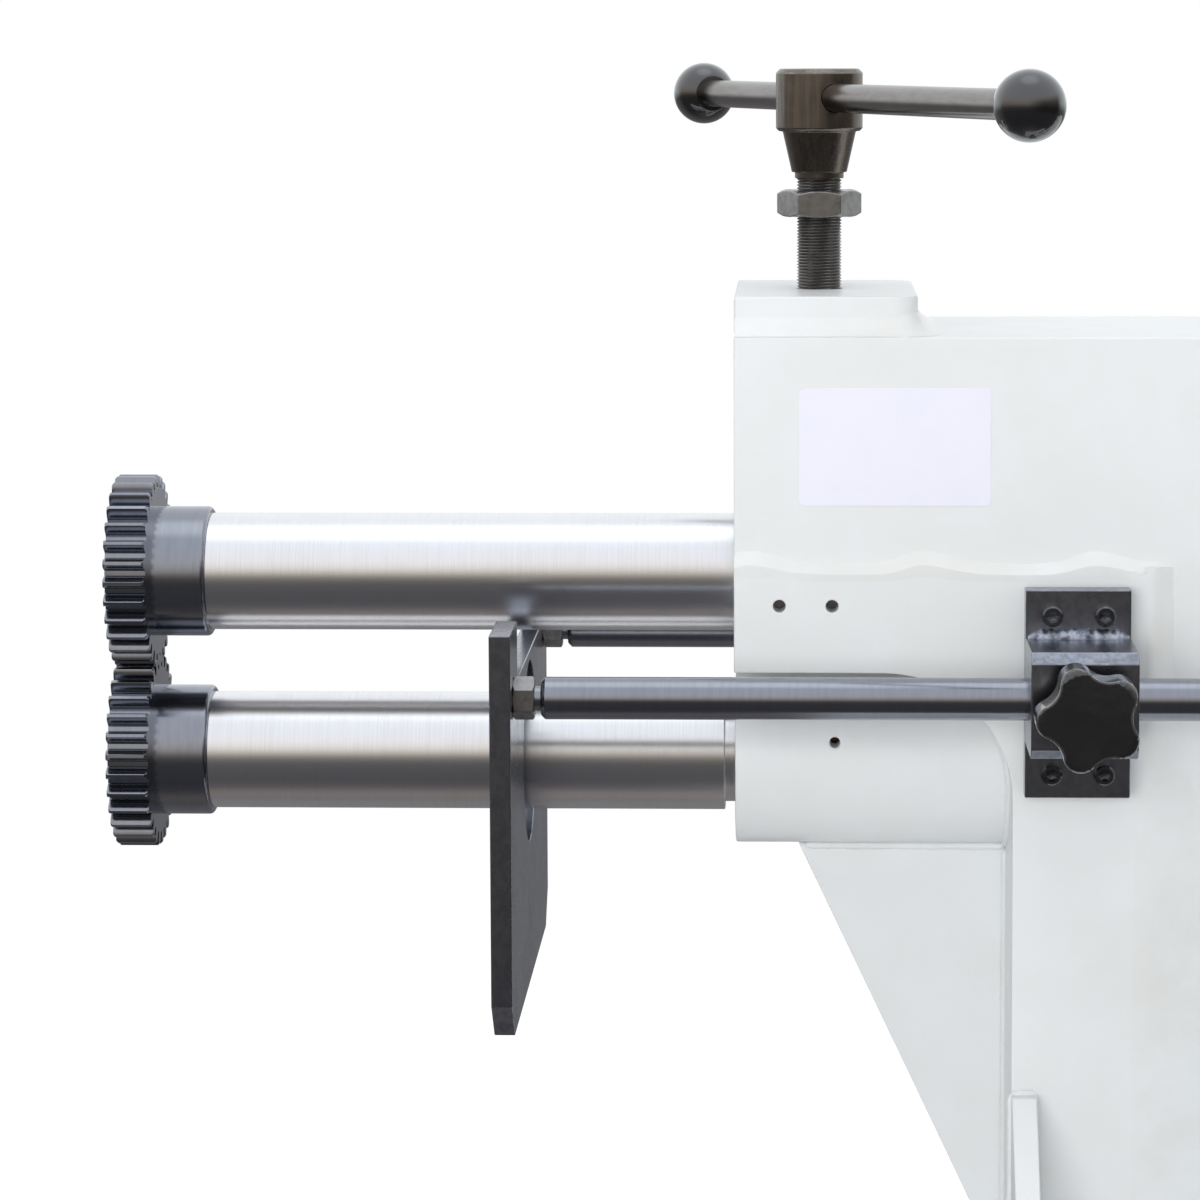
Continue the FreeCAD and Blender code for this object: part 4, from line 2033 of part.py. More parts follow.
def controls():
    """Control box on the near side, its panel, buttons and selector."""
    floor = "dims.control_floor_height"
    end = f"({CONTROL_X} + dims.control_length)"
    roof = f"({floor} + dims.control_height)"
    wall = "dims.control_wall"
    case = block("control_case", (CONTROL_X, f"-{PANEL_BACK}", floor), (end, f"-{HALF_ARM}", roof))
    room = block(
        "control_room",
        (f"{CONTROL_X} + {wall}", f"-{PANEL_BACK}", f"{floor} + {wall}"),
        (f"{end} - {wall}", f"-{HALF_ARM} - {wall}", f"{roof} - {wall}"),
    )
    node("control_box", cut("control_box", case, room))
    corners = [(CONTROL_X, floor), (end, floor), (end, roof), (CONTROL_X, roof)]
    hole = "dims.button_hole / 2 + dims.running_clearance"
    holes = [(x, z, hole) for x, z in control_places().values()]
    panel = side_sketch_body(
        "control_panel", corners, "dims.panel_thickness", PANEL_FACE, circles=holes
    )
    node("control_panel", panel)
    gap = "dims.button_travel_gap"
    x, z = control_places()["stop"]
    neck = rod(
        "stop_neck",
        "-y",
        (x, f"-{PANEL_FACE} + dims.stop_neck_height", z),
        "dims.button_hole / 2",
        f"dims.stop_neck_height + {gap} + dims.cap_overlap",
    )
    head = rod(
        "stop_head",
        "-y",
        (x, f"-({PANEL_FACE} + {gap})", z),
        "dims.stop_head_diameter / 2",
        "dims.stop_head_height",
    )
    node("emergency_stop", fuse("emergency_stop", neck, head))
    x, z = control_places()["start"]
    node(
        "start_button",
        rod(
            "start_button",
            "-y",
            (x, f"-{PANEL_FACE} + dims.stop_neck_height", z),
            "dims.button_hole / 2",
            "dims.stop_neck_height + dims.start_cap_height",
        ),
    )
    x, z = control_places()["selector"]
    neck = rod(
        "selector_neck",
        "-y",
        (x, f"-{PANEL_FACE} + dims.stop_neck_height", z),
        "dims.button_hole / 2",
        "dims.stop_neck_height + dims.cap_overlap",
    )
    collar = rod(
        "selector_collar",
        "-y",
        (x, f"-({PANEL_FACE} + dims.slide_clearance)", z),
        "dims.selector_diameter / 2",
        "dims.selector_height / 2",
    )
    grip_half = "(dims.selector_grip_width / 2)"
    grip_reach = "(dims.selector_diameter / 2 - dims.selector_grip_inset)"
    grip = block(
        "selector_grip",
        (f"{x} - {grip_half}", f"-({PANEL_FACE} + dims.selector_height)", f"{z} - {grip_reach}"),
        (f"{x} + {grip_half}", f"-({PANEL_FACE} + dims.selector_grip_gap)", f"{z} + {grip_reach}"),
    )
    node("selector_knob", fuse("selector_knob", neck, collar, grip))
    cable_glands()


def gland(name, axis, start):
    """Cable gland: hexagon, dome nut and bore."""
    nose_start = along(start, axis, "dims.gland_length")
    hexagon = prism(f"{name}_hexagon", axis, start, "dims.gland_flats", "dims.gland_length")
    nose = cone(
        f"{name}_nose",
        axis,
        nose_start,
        "dims.gland_nose_foot / 2",
        "dims.gland_nose_tip / 2",
        "dims.gland_nose_length",
    )
    length = "dims.gland_length + dims.gland_nose_length"
    bore = rod(f"{name}_bore", axis, start, "dims.gland_bore / 2", length)
    return cut(name, fuse(f"{name}_solid", hexagon, nose), bore)


def cable_glands():
    """Glands under the control box and on the terminal box."""
    box_middle = f"{CONTROL_X} + dims.control_length / 2"
    outward = f"-({HALF_ARM} + dims.control_depth / 2)"
    inlet = gland("control_gland", "-z", (box_middle, outward, "dims.control_floor_height"))
    box_centre = f"({TERMINAL_FLOOR} + {LID_FLOOR}) / 2"
    motor = gland("motor_gland", "y", (WORM_X, TERMINAL_END, box_centre))
    node("cable_glands", group("cable_glands", inlet, motor))


def build():
    """Make every piece."""
    base_plate()
    cheek_plates()
    side_plates()
    arm_top()
    front_web()
    arm_bulkheads()
    rear_wall()
    lower_housing()
    throat_gusset()
    buttresses()
    shaft_bushings()
    shafts()
    gears()
    roll_fixing("upper_roll_fixing", UPPER, UPPER_GEAR_KEY)
    roll_fixing("lower_roll_fixing", LOWER, LOWER_GEAR_KEY)
    upper_carriage()
    lift_springs()
    pivot_housing()
    adjusting_screw()
    handle_hub()
    cross_bar()
    depth_stop()
    clamps()
    gear_case()
    lower_adjuster()
    gearmotor()
    controls()
    doc.recompute()


def check():
    """Stop on a failed feature or a bad shape."""
    for item in doc.Objects:
        if "Invalid" in item.State or "Error" in item.State:
            raise RuntimeError(f"{item.Name} failed: {item.State}")
    for name, item in nodes.items():
        shape = item.Shape
        if shape.isNull() or not shape.isValid() or not shape.Solids:
            raise RuntimeError(f"{name} has no valid solid")


def export():
    """Write each piece to its own STEP file."""
    os.makedirs("parts", exist_ok=True)
    for name, item in nodes.items():
        item.Shape.exportStep(os.path.join("parts", f"{name}.step"))
        print(name, len(item.Shape.Solids), "solids", round(item.Shape.Volume), "mm3")
    print(len(nodes), "pieces")


build()
check()
export()
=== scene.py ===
"""Looks of a bench-mounted rotary beading machine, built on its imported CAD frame.

Lengths are in metres and places are in the frame's own coordinates. X runs along the shafts from the
toothed rolls to the drive, Y from the operator's side to the motor, and Z up from the bench.
"""

import json
import logging
import math
from collections.abc import Callable, Iterable, Iterator, Sequence
from dataclasses import dataclass
from enum import Enum

import bmesh
import bpy
from mathutils import Matrix, Vector, noise

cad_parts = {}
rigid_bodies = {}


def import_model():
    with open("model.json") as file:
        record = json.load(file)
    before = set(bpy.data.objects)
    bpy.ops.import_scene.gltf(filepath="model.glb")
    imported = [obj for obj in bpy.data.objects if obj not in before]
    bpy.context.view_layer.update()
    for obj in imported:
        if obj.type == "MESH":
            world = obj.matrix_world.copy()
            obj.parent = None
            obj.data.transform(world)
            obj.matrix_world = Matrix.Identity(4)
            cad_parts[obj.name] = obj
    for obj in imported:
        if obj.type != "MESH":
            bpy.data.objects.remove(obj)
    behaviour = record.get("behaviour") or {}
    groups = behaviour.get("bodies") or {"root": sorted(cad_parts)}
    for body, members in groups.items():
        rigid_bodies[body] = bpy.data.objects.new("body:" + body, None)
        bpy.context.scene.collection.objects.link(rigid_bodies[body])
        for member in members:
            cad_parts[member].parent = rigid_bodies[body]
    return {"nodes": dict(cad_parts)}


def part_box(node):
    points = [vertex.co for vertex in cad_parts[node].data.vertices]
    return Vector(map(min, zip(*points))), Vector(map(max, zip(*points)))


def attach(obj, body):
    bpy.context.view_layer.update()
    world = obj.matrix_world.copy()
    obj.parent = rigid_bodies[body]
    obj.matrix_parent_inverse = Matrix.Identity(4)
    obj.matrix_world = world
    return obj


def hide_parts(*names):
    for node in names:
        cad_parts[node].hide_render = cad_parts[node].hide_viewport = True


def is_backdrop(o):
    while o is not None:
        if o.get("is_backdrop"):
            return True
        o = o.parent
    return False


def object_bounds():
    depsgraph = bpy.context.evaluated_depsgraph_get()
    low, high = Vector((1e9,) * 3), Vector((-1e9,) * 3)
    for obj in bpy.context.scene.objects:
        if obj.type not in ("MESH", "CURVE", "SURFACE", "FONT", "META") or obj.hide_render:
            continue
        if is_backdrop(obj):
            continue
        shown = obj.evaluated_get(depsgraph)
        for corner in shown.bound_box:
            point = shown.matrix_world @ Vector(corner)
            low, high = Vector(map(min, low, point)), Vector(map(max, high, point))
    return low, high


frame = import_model()

LOG = logging.getLogger("beading_machine")
MM = 0.001
SAME_POINT = 0.002 * MM
WHITE = (1.0, 1.0, 1.0, 1.0)
EDGE_MARK = "edge"
FACING = "facing"

Colour = tuple[float, float, float, float]
Point = tuple[float, float, float]


def srgb(red: float, green: float, blue: float) -> Colour:
    """Linear colour of a display colour.

    Args:
        red: red part, 0 to 255.
        green: green part, 0 to 255.
        blue: blue part, 0 to 255.

    Returns:
        The linear red, green, blue and an alpha of 1.
    """
    parts = [value / 255 for value in (red, green, blue)]
    linear = [part / 12.92 if part <= 0.04045 else ((part + 0.055) / 1.055) ** 2.4 for part in parts]
    return (*linear, 1.0)


class Signal:
    """An output socket that can be used in a Python expression."""

    def __init__(self, graph: "Graph", socket: bpy.types.NodeSocket) -> None:
        """Keeps the socket and the graph that it belongs to."""
        self.graph = graph
        self.socket = socket

    def _math(self, operation: str, *terms: "Value") -> "Signal":
        """Adds one Math node with these terms."""
        return self.graph.node("ShaderNodeMath", dict(enumerate(terms)), operation=operation)

    def __add__(self, other: "Value") -> "Signal":
        """Sum."""
        return self._math("ADD", self, other)

    __radd__ = __add__

    def __sub__(self, other: "Value") -> "Signal":
        """Difference."""
        return self._math("SUBTRACT", self, other)

    def __rsub__(self, other: "Value") -> "Signal":
        """Difference with the value first."""
        return self._math("SUBTRACT", other, self)

    def __mul__(self, other: "Value") -> "Signal":
        """Product."""
        return self._math("MULTIPLY", self, other)

    __rmul__ = __mul__

    def __truediv__(self, other: "Value") -> "Signal":
        """Quotient."""
        return self._math("DIVIDE", self, other)

    def size(self) -> "Signal":
        """The value without its sign."""
        return self._math("ABSOLUTE", self)

    def sine(self) -> "Signal":
        """Sine of the value in radians."""
        return self._math("SINE", self)

    def fraction(self) -> "Signal":
        """What is left over after whole units."""
        return self._math("FRACT", self)

    def least(self, other: "Value") -> "Signal":
        """The smaller of two values."""
        return self._math("MINIMUM", self, other)

    def angle(self, across: "Signal") -> "Signal":
        """Angle of a point whose Y is this value."""
        return self._math("ARCTAN2", self, across)

    def ramp(self, low: "Value", high: "Value") -> "Signal":
        """Smooth rise from 0 at low to 1 at high."""
        values = {0: self, 1: low, 2: high}
        return self.graph.node("ShaderNodeMapRange", values, interpolation_type="SMOOTHSTEP")

    def clamped(self) -> "Signal":
        """The value kept between 0 and 1."""
        return self.graph.node("ShaderNodeClamp", {0: self})

    def scaled(self, factor: "Value | Point") -> "Signal":
        """The vector times one number, or times a number along each axis."""
        operation, key = ("MULTIPLY", 1) if isinstance(factor, tuple) else ("SCALE", "Scale")
        return self.graph.node("ShaderNodeVectorMath", {0: self, key: factor}, operation=operation)

    def length(self) -> "Signal":
        """Length of the vector."""
        return self.graph.node("ShaderNodeVectorMath", {0: self}, output=1, operation="LENGTH")

    def parts(self) -> tuple["Signal", "Signal", "Signal"]:
        """X, Y and Z of the vector."""
        across = self.graph.node("ShaderNodeSeparateXYZ", {0: self})
        return across, across.beside("Y"), across.beside("Z")

    def beside(self, label: str) -> "Signal":
        """Another output of the same node."""
        return Signal(self.graph, self.socket.node.outputs[label])


Value = float | Signal


class Graph:
    """A node tree that is written as expressions."""

    def __init__(self, tree: bpy.types.NodeTree) -> None:
        """Keeps the tree."""
        self.tree = tree

    def node(
        self, kind: str, values: dict | None = None, output: int | str = 0, **settings: object
    ) -> Signal:
        """Adds one node.

        Args:
            kind: the node's type.
            values: a number, vector, colour or signal by input index or name.
            output: index or name of the output that is wanted.
            **settings: its properties, set first. "stops" gives a ramp's places and colours.

        Returns:
            That output as a signal.
        """
        made = self.tree.nodes.new(kind)
        for key, value in settings.items():
            if key == "stops":
                self._set_stops(made.color_ramp, value)
            else:
                setattr(made, key, value)
        for key, value in (values or {}).items():
            if isinstance(value, Signal):
                self.tree.links.new(value.socket, made.inputs[key])
            else:
                made.inputs[key].default_value = value
        return Signal(self, made.outputs[output])

    @staticmethod
    def _set_stops(ramp: bpy.types.ColorRamp, stops: Sequence[tuple[float, Colour]]) -> None:
        """Gives a ramp these stops.

        Args:
            ramp: the node's ramp.
            stops: place and colour of each stop.
        """
        while len(ramp.elements) > 1:
            ramp.elements.remove(ramp.elements[-1])
        for number, (place, colour) in enumerate(stops):
            element = ramp.elements[0] if number == 0 else ramp.elements.new(place)
            element.position = place
            element.color = colour

    def mix(self, factor: Value, low: Colour | Signal, high: Colour | Signal) -> Signal:
        """Mixes two colours, the first at a factor of 0 and the second at 1."""
        values = {0: factor, 6: low, 7: high}
        return self.node("ShaderNodeMix", values, output=2, data_type="RGBA", clamp_factor=True)

    def place(self) -> Signal:
        """Object coordinates, which are the frame's own metres."""
        return self.node("ShaderNodeTexCoord", output="Object")

    def noise(self, vector: Signal, scale: float, detail: float = 2.0, rough: float = 0.5) -> Signal:
        """Noise from 0 to 1, from its waves per metre, its finer layers and their share."""
        values = {"Vector": vector, "Scale": scale, "Detail": detail, "Roughness": rough}
        return self.node("ShaderNodeTexNoise", values)

    def edge(self) -> Signal:
        """The mark on rounded edges, 1 on them and 0 elsewhere."""
        return self.node("ShaderNodeAttribute", output=2, attribute_name=EDGE_MARK)

    def bump(self, height: Signal, depth: float) -> Signal:
        """Normal of a surface with this relief, where a height of 1 stands for the depth."""
        return self.node("ShaderNodeBump", {"Height": height, "Distance": depth})

    def end(self, kind: str, result: Signal) -> None:
        """Leads a result into the first socket of the tree's output node."""
        self.tree.links.new(result.socket, self.tree.nodes.new(kind).inputs[0])


@dataclass(frozen=True)
class Finish:
    """A surface finish with its own material.

    Attributes:
        name: the material's name.
        slot: the record's material slot; not used.
        colour: main colour.
        rough: roughness.
    """

    name: str
    slot: str
    colour: Colour
    rough: float

    def material(self) -> bpy.types.Material:
        """The finish's material, made the first time that it is asked for.

        Returns:
            The material.
        """
        name = f"{self.name}_finish"
        known = bpy.data.materials.get(name)
        if known:
            return known
        made = bpy.data.materials.new(name)
        made.use_nodes = True
        shader = made.node_tree.nodes["Principled BSDF"]
        graph = Graph(made.node_tree)
        for socket, value in self.sockets(graph).items():
            if isinstance(value, Signal):
                made.node_tree.links.new(value.socket, shader.inputs[socket])
            else:
                shader.inputs[socket].default_value = value
        made.diffuse_color = self.colour
        return made

    def sockets(self, graph: Graph) -> dict[str, Value | Colour]:
        """What goes into the shader's sockets, by name."""
        raise NotImplementedError


@dataclass(frozen=True)
class Enamel(Finish):
    """Brushed or sprayed paint over plates and castings.

    Attributes:
        shade: colour of the faint clouds in it.
        clouds: strength of the clouds.
        peel: depth of the orange peel.
        chip: colour of the worn edges.
        wear: how much of the edges is worn.
        grain: fine speckle of the paint, for powder coats.
    """

    shade: Colour = WHITE
    clouds: float = 0.5
    peel: float = 0.00003
    chip: Colour = WHITE
    wear: float = 0.0
    grain: float = 0.0

    def sockets(self, graph: Graph) -> dict[str, Value | Colour]:
        """What goes into the shader's sockets, by name.

        Args:
            graph: the material's tree.

        Returns:
            A value or a signal by the socket's name.
        """
        place = graph.place()
        broad = graph.noise(place, scale=7.0, detail=3.0, rough=0.6)
        patch = graph.noise(place, scale=38.0, detail=4.0, rough=0.6)
        fine = graph.noise(place, scale=520.0)
        speckle = graph.noise(place, scale=2600.0, detail=1.0)
        cloud = (broad * 0.6 + patch * 0.4).ramp(0.38, 0.66) * self.clouds
        body = graph.mix(cloud, self.colour, self.shade)
        if self.grain:
            dark = tuple(value * 0.82 for value in self.colour[:3])
            body = graph.mix(speckle.ramp(0.5, 0.75) * self.grain, body, (*dark, 1.0))
        worn = graph.edge() * (patch * 0.5 + fine * 0.5).ramp(0.62 - 0.3 * self.wear, 0.72) * self.wear
        relief = fine * 0.45 + patch * 0.4 + speckle * (0.15 + self.grain)
        return {
            "Base Color": graph.mix(worn, body, self.chip),
            "Roughness": self.rough + (patch - 0.5) * 0.12 + (fine - 0.5) * 0.05,
            "Normal": graph.bump(relief, self.peel),
        }


@dataclass(frozen=True)
class Metal(Finish):
    """Machined, ground, blackened or plated metal.

    Attributes:
        tint: second colour, in streaks and clouds.
        grain: waves per metre along X, Y and Z of the tool marks.
        marks: depth of the tool marks.
        stain: strength of the second colour.
        spread: how far the streaks and clouds change the roughness.
        bright: colour of its worn edges.
        wear: how much of the edges is worn.
    """

    tint: Colour = WHITE
    grain: Point = (300.0, 300.0, 300.0)
    marks: float = 0.000004
    stain: float = 0.5
    spread: float = 0.1
    bright: Colour = WHITE
    wear: float = 0.3

    def sockets(self, graph: Graph) -> dict[str, Value | Colour]:
        """What goes into the shader's sockets, by name.

        Args:
            graph: the material's tree.

        Returns:
            A value or a signal by the socket's name.
        """
        place = graph.place()
        tool = graph.noise(place.scaled(self.grain), scale=1.0, detail=3.0, rough=0.65)
        broad = graph.noise(place, scale=26.0, detail=4.0, rough=0.6)
        patch = graph.noise(place, scale=140.0, detail=3.0, rough=0.6)
        streak = (tool * 0.55 + broad * 0.3 + patch * 0.15).ramp(0.4, 0.64)
        body = graph.mix(streak * self.stain, self.colour, self.tint)
        worn = graph.edge() * (patch * 0.6 + tool * 0.4).ramp(0.62 - 0.4 * self.wear, 0.75)
        return {
            "Base Color": graph.mix(worn * (0.4 + 0.6 * self.wear), body, self.bright),
            "Metallic": 1.0,
            "Roughness": self.rough + (tool * 0.5 + broad * 0.5 - 0.5) * self.spread * 2,
            "Normal": graph.bump(tool * 0.8 + patch * 0.2, self.marks),
        }


@dataclass(frozen=True)
class Moulded(Finish):
    """Moulded plastic, from mirror gloss to a spark-eroded grain.

    Attributes:
        dust: colour of the faint dust on it.
        film: strength of the dust.
        grain: depth of the mould's grain.
        wave: depth of the slow waves in its faces.
        coat: weight of the clear gloss.
        gleam: specular level.
    """

    dust: Colour = WHITE
    film: float = 0.04
    grain: float = 0.000006
    wave: float = 0.0
    coat: float = 0.0
    gleam: float = 0.5

    def sockets(self, graph: Graph) -> dict[str, Value | Colour]:
        """What goes into the shader's sockets, by name.

        Args:
            graph: the material's tree.

        Returns:
            A value or a signal by the socket's name.
        """
        place = graph.place()
        smear = graph.noise(place, scale=45.0, detail=4.0, rough=0.65)
        fine = graph.noise(place, scale=900.0)
        body = graph.mix(smear.ramp(0.45, 0.75) * self.film, self.colour, self.dust)
        return {
            "Base Color": graph.mix(graph.edge() * 0.2, body, tuple(0.15 + 0.85 * v for v in self.colour)),
            "Roughness": self.rough + (smear - 0.5) * 0.1 + (fine - 0.5) * 0.04,
            "Normal": graph.bump(fine * self.grain + smear * self.wave, 1.0),
            "Specular IOR Level": self.gleam,
            "Coat Weight": self.coat,
            "Coat Roughness": 0.06,
        }


PAINT = Enamel(
    "cream_enamel", "paint", srgb(225, 228, 230), 0.38, shade=srgb(221, 223, 222), clouds=0.8,
    peel=0.00005, chip=srgb(238, 240, 241), wear=0.2,
)
WELD_PAINT = Enamel(
    "enamel_over_weld", "paint", srgb(226, 229, 231), 0.32, shade=srgb(219, 220, 218), clouds=0.9,
    peel=0.0002,
)
CASTING_GREY = Enamel(
    "casting_grey", "motor_grey", srgb(128, 132, 134), 0.45, shade=srgb(112, 116, 119), clouds=0.7,
    peel=0.00012, chip=srgb(150, 152, 152), wear=0.2,
)
PANEL_GREY = Enamel(
    "panel_powder_grey", "panel_grey", srgb(176, 179, 180), 0.5, shade=srgb(168, 171, 173),
    peel=0.00004, grain=0.5, chip=srgb(196, 198, 198), wear=0.2,
)
GROUND_STEEL = Metal(
    "ground_steel", "ground_steel", srgb(240, 240, 241), 0.25, tint=srgb(226, 223, 219),
    grain=(2200.0, 24.0, 24.0), marks=0.0000006, stain=0.4, spread=0.05, bright=srgb(240, 240, 240),
)
BRIGHT_STEEL = Metal(
    "bright_steel", "bright_steel", srgb(196, 195, 193), 0.28, tint=srgb(164, 162, 160),
    grain=(900.0, 300.0, 300.0), bright=srgb(226, 226, 225),
)
BLACK_OXIDE = Metal(
    "black_oxide", "black_oxide", srgb(150, 153, 161), 0.18, tint=srgb(134, 137, 144),
    grain=(420.0, 60.0, 60.0), marks=0.0000006, stain=0.35, spread=0.05,
    bright=srgb(168, 170, 176), wear=0.2,
)
SCREW_BLACK = Metal(
    "black_screw_heads", "black_oxide", srgb(98, 100, 106), 0.22, tint=srgb(76, 78, 83),
    grain=(300.0, 300.0, 300.0), marks=0.000001, stain=0.6, bright=srgb(150, 152, 158), wear=0.2,
)
BAR_BLACK = Metal(
    "blackened_bar", "black_oxide", srgb(140, 134, 131), 0.2, tint=srgb(116, 108, 102),
    grain=(60.0, 60.0, 420.0), marks=0.0000006, stain=0.5, spread=0.06, bright=srgb(170, 166, 162),
)
SATIN_BLACK = Metal(
    "blackened_plate", "black_oxide", srgb(146, 150, 160), 0.24, tint=srgb(112, 115, 123),
    grain=(260.0, 260.0, 180.0), marks=0.000005, stain=0.8, spread=0.14,
    bright=srgb(196, 199, 205), wear=0.5,
)
HUB_BLACK = Metal(
    "blackened_hub", "black_oxide", srgb(130, 122, 113), 0.28, tint=srgb(88, 83, 78),
    grain=(420.0, 420.0, 22.0), marks=0.000004, stain=0.75, spread=0.12,
    bright=srgb(190, 186, 180), wear=0.4,
)
BLACK_SCREW = Metal(
    "black_thread_steel", "black_oxide", srgb(140, 138, 136), 0.32, tint=srgb(104, 103, 103),
    grain=(160.0, 160.0, 900.0), marks=0.000004, stain=0.6, bright=srgb(170, 166, 160),
)
ZINC = Metal(
    "dull_zinc", "zinc", srgb(164, 163, 161), 0.34, tint=srgb(122, 120, 117),
    grain=(240.0, 240.0, 240.0), marks=0.00001, stain=0.7, bright=srgb(200, 197, 192),
)
RAW_WELD = Metal(
    "raw_weld", "black_oxide", srgb(204, 211, 224), 0.5, tint=srgb(92, 97, 110),
    grain=(170.0, 170.0, 170.0), marks=0.00006, stain=1.0, spread=0.25, bright=WHITE,
)
BRONZE = Metal(
    "bearing_bronze", "bronze", srgb(196, 150, 92), 0.34, tint=srgb(160, 116, 68),
    grain=(700.0, 200.0, 200.0), marks=0.000005, bright=srgb(220, 180, 126),
)
GREY_IRON = Metal(
    "machined_iron", "grey_iron", srgb(140, 139, 137), 0.4, tint=srgb(108, 107, 105),
    grain=(260.0, 260.0, 260.0), marks=0.00001, bright=srgb(184, 183, 181),
)
GLOSS_BLACK = Moulded(
    "gloss_black_moulding", "black_plastic", srgb(10, 10, 11), 0.12, dust=srgb(44, 44, 46), coat=1.0,
    gleam=1.0,
)
KNOB_BLACK = Moulded(
    "satin_black_moulding", "black_plastic", srgb(14, 15, 17), 0.16, dust=srgb(44, 46, 50), film=0.2,
    grain=0.000002, wave=0.0006, coat=1.0, gleam=0.8,
)
DARK_MOULDING = Moulded(
    "dark_grained_moulding", "dark_plastic", srgb(30, 31, 33), 0.42, dust=srgb(80, 80, 82), grain=0.00002
)
RED_MOULDING = Moulded(
    "red_moulding", "red_plastic", srgb(188, 26, 24), 0.28, dust=srgb(214, 120, 112), coat=0.3
)
GREEN_MOULDING = Moulded(
    "green_moulding", "green_plastic", srgb(24, 128, 66), 0.3, dust=srgb(120, 180, 140), coat=0.3
)
BLANK_FILM = Moulded(
    "blank_film", "paint", srgb(231, 230, 243), 0.24, dust=srgb(226, 228, 240), film=0.5, grain=0.000003
)


class Dress(Enum):
    """Finish and edge rounding in millimetres of each CAD node that keeps its shape."""

    BASE_PLATE = PAINT, 1.2
    CHEEK_PLATES = PAINT, 0.9
    SIDE_PLATES = PAINT, 0.9
    ARM_TOP_PLATE = PAINT, 1.2
    TOP_PAD = PAINT, 1.6
    FRONT_WEB = PAINT, 0.8
    ARM_BULKHEADS = PAINT, 0.5
    REAR_WALL = PAINT, 0.8
    LOWER_HOUSING = PAINT, 1.2
    THROAT_GUSSET = PAINT, 0.8
    BUTTRESSES = PAINT, 0.9
    PIVOT_HOUSING = PAINT, 0.6
    GEAR_CASE = PAINT, 1.0
    GEAR_CASE_COVER = PAINT, 1.0
    ADJUSTER_BOSS = PAINT, 0.6
    CONTROL_BOX = PAINT, 1.2
    GEARBOX_HOUSING = CASTING_GREY, 0.8
    MOTOR_BODY = CASTING_GREY, 0.3
    TERMINAL_BOX = CASTING_GREY, 1.2
    FAN_COVER = CASTING_GREY, 0.5
    CONTROL_PANEL = PANEL_GREY, 0.5
    CLAMP_PLATES = SATIN_BLACK, 0.7
    CLAMP_BLOCKS = SATIN_BLACK, 0.6
    CABLE_GLANDS = DARK_MOULDING, 0.4
    SHAFT_BUSHINGS = BRONZE, 0.3
    BLOCK_BUSHING = BRONZE, 0.3
    SLIDE_BLOCK = GREY_IRON, 0.8
    PIVOT_BALL = BRIGHT_STEEL, 0.0
    THRUST_SLEEVE = BRIGHT_STEEL, 0.4
    ADJUSTING_WHEEL = DARK_MOULDING, 0.8
    LOWER_SHAFT = GROUND_STEEL, 0.4
    UPPER_SHAFT = GROUND_STEEL, 0.4
    SHAFT_END_NUT = BRIGHT_STEEL, 0.4
    LOWER_TIMING_GEAR = GREY_IRON, 0.3
    UPPER_TIMING_GEAR = GREY_IRON, 0.3
    BULL_GEAR = GREY_IRON, 0.3
    DRIVE_PINION = BRIGHT_STEEL, 0.3
    PRESSURE_FOOT = BRIGHT_STEEL, 0.4
    SCREW_HUB = HUB_BLACK, 0.5
    LOCK_NUT = ZINC, 0.4
    CROSS_BAR = BAR_BLACK, 0.4
    STOP_PLATE = SATIN_BLACK, 0.6
    GUIDE_RODS = BLACK_OXIDE, 0.3
    STOP_NUTS = ZINC, 0.3
    NEAR_CLAMP_PAD = BRONZE, 0.2
    FAR_CLAMP_PAD = BRONZE, 0.2
    NEAR_CLAMP_KNOB = KNOB_BLACK, 1.2
    FAR_CLAMP_KNOB = KNOB_BLACK, 1.2
    EMERGENCY_STOP = RED_MOULDING, 0.8
    START_BUTTON = GREEN_MOULDING, 0.5
    SELECTOR_KNOB = DARK_MOULDING, 0.6

    def __new__(cls, *_: object) -> "Dress":
        """Numbers the member, so that two with the same finish and rounding stay apart.

        Returns:
            The new member.
        """
        made = object.__new__(cls)
        made._value_ = len(cls.__members__)
        return made

    def __init__(self, finish: Finish, rounding: float) -> None:
        """Keeps the node's name, its finish and the width of its rounded edges, in metres.

        Args:
            finish: the finish.
            rounding: the width in millimetres.
        """
        self.node = self.name.lower()
        self.finish = finish
        self.rounding = rounding * MM


class Side(Enum):
    """The two sides of the machine, as the sign of Y."""

    NEAR = -1
    FAR = 1

    @property
    def sign(self) -> int:
        """Sign of Y on this side."""
        return self.value


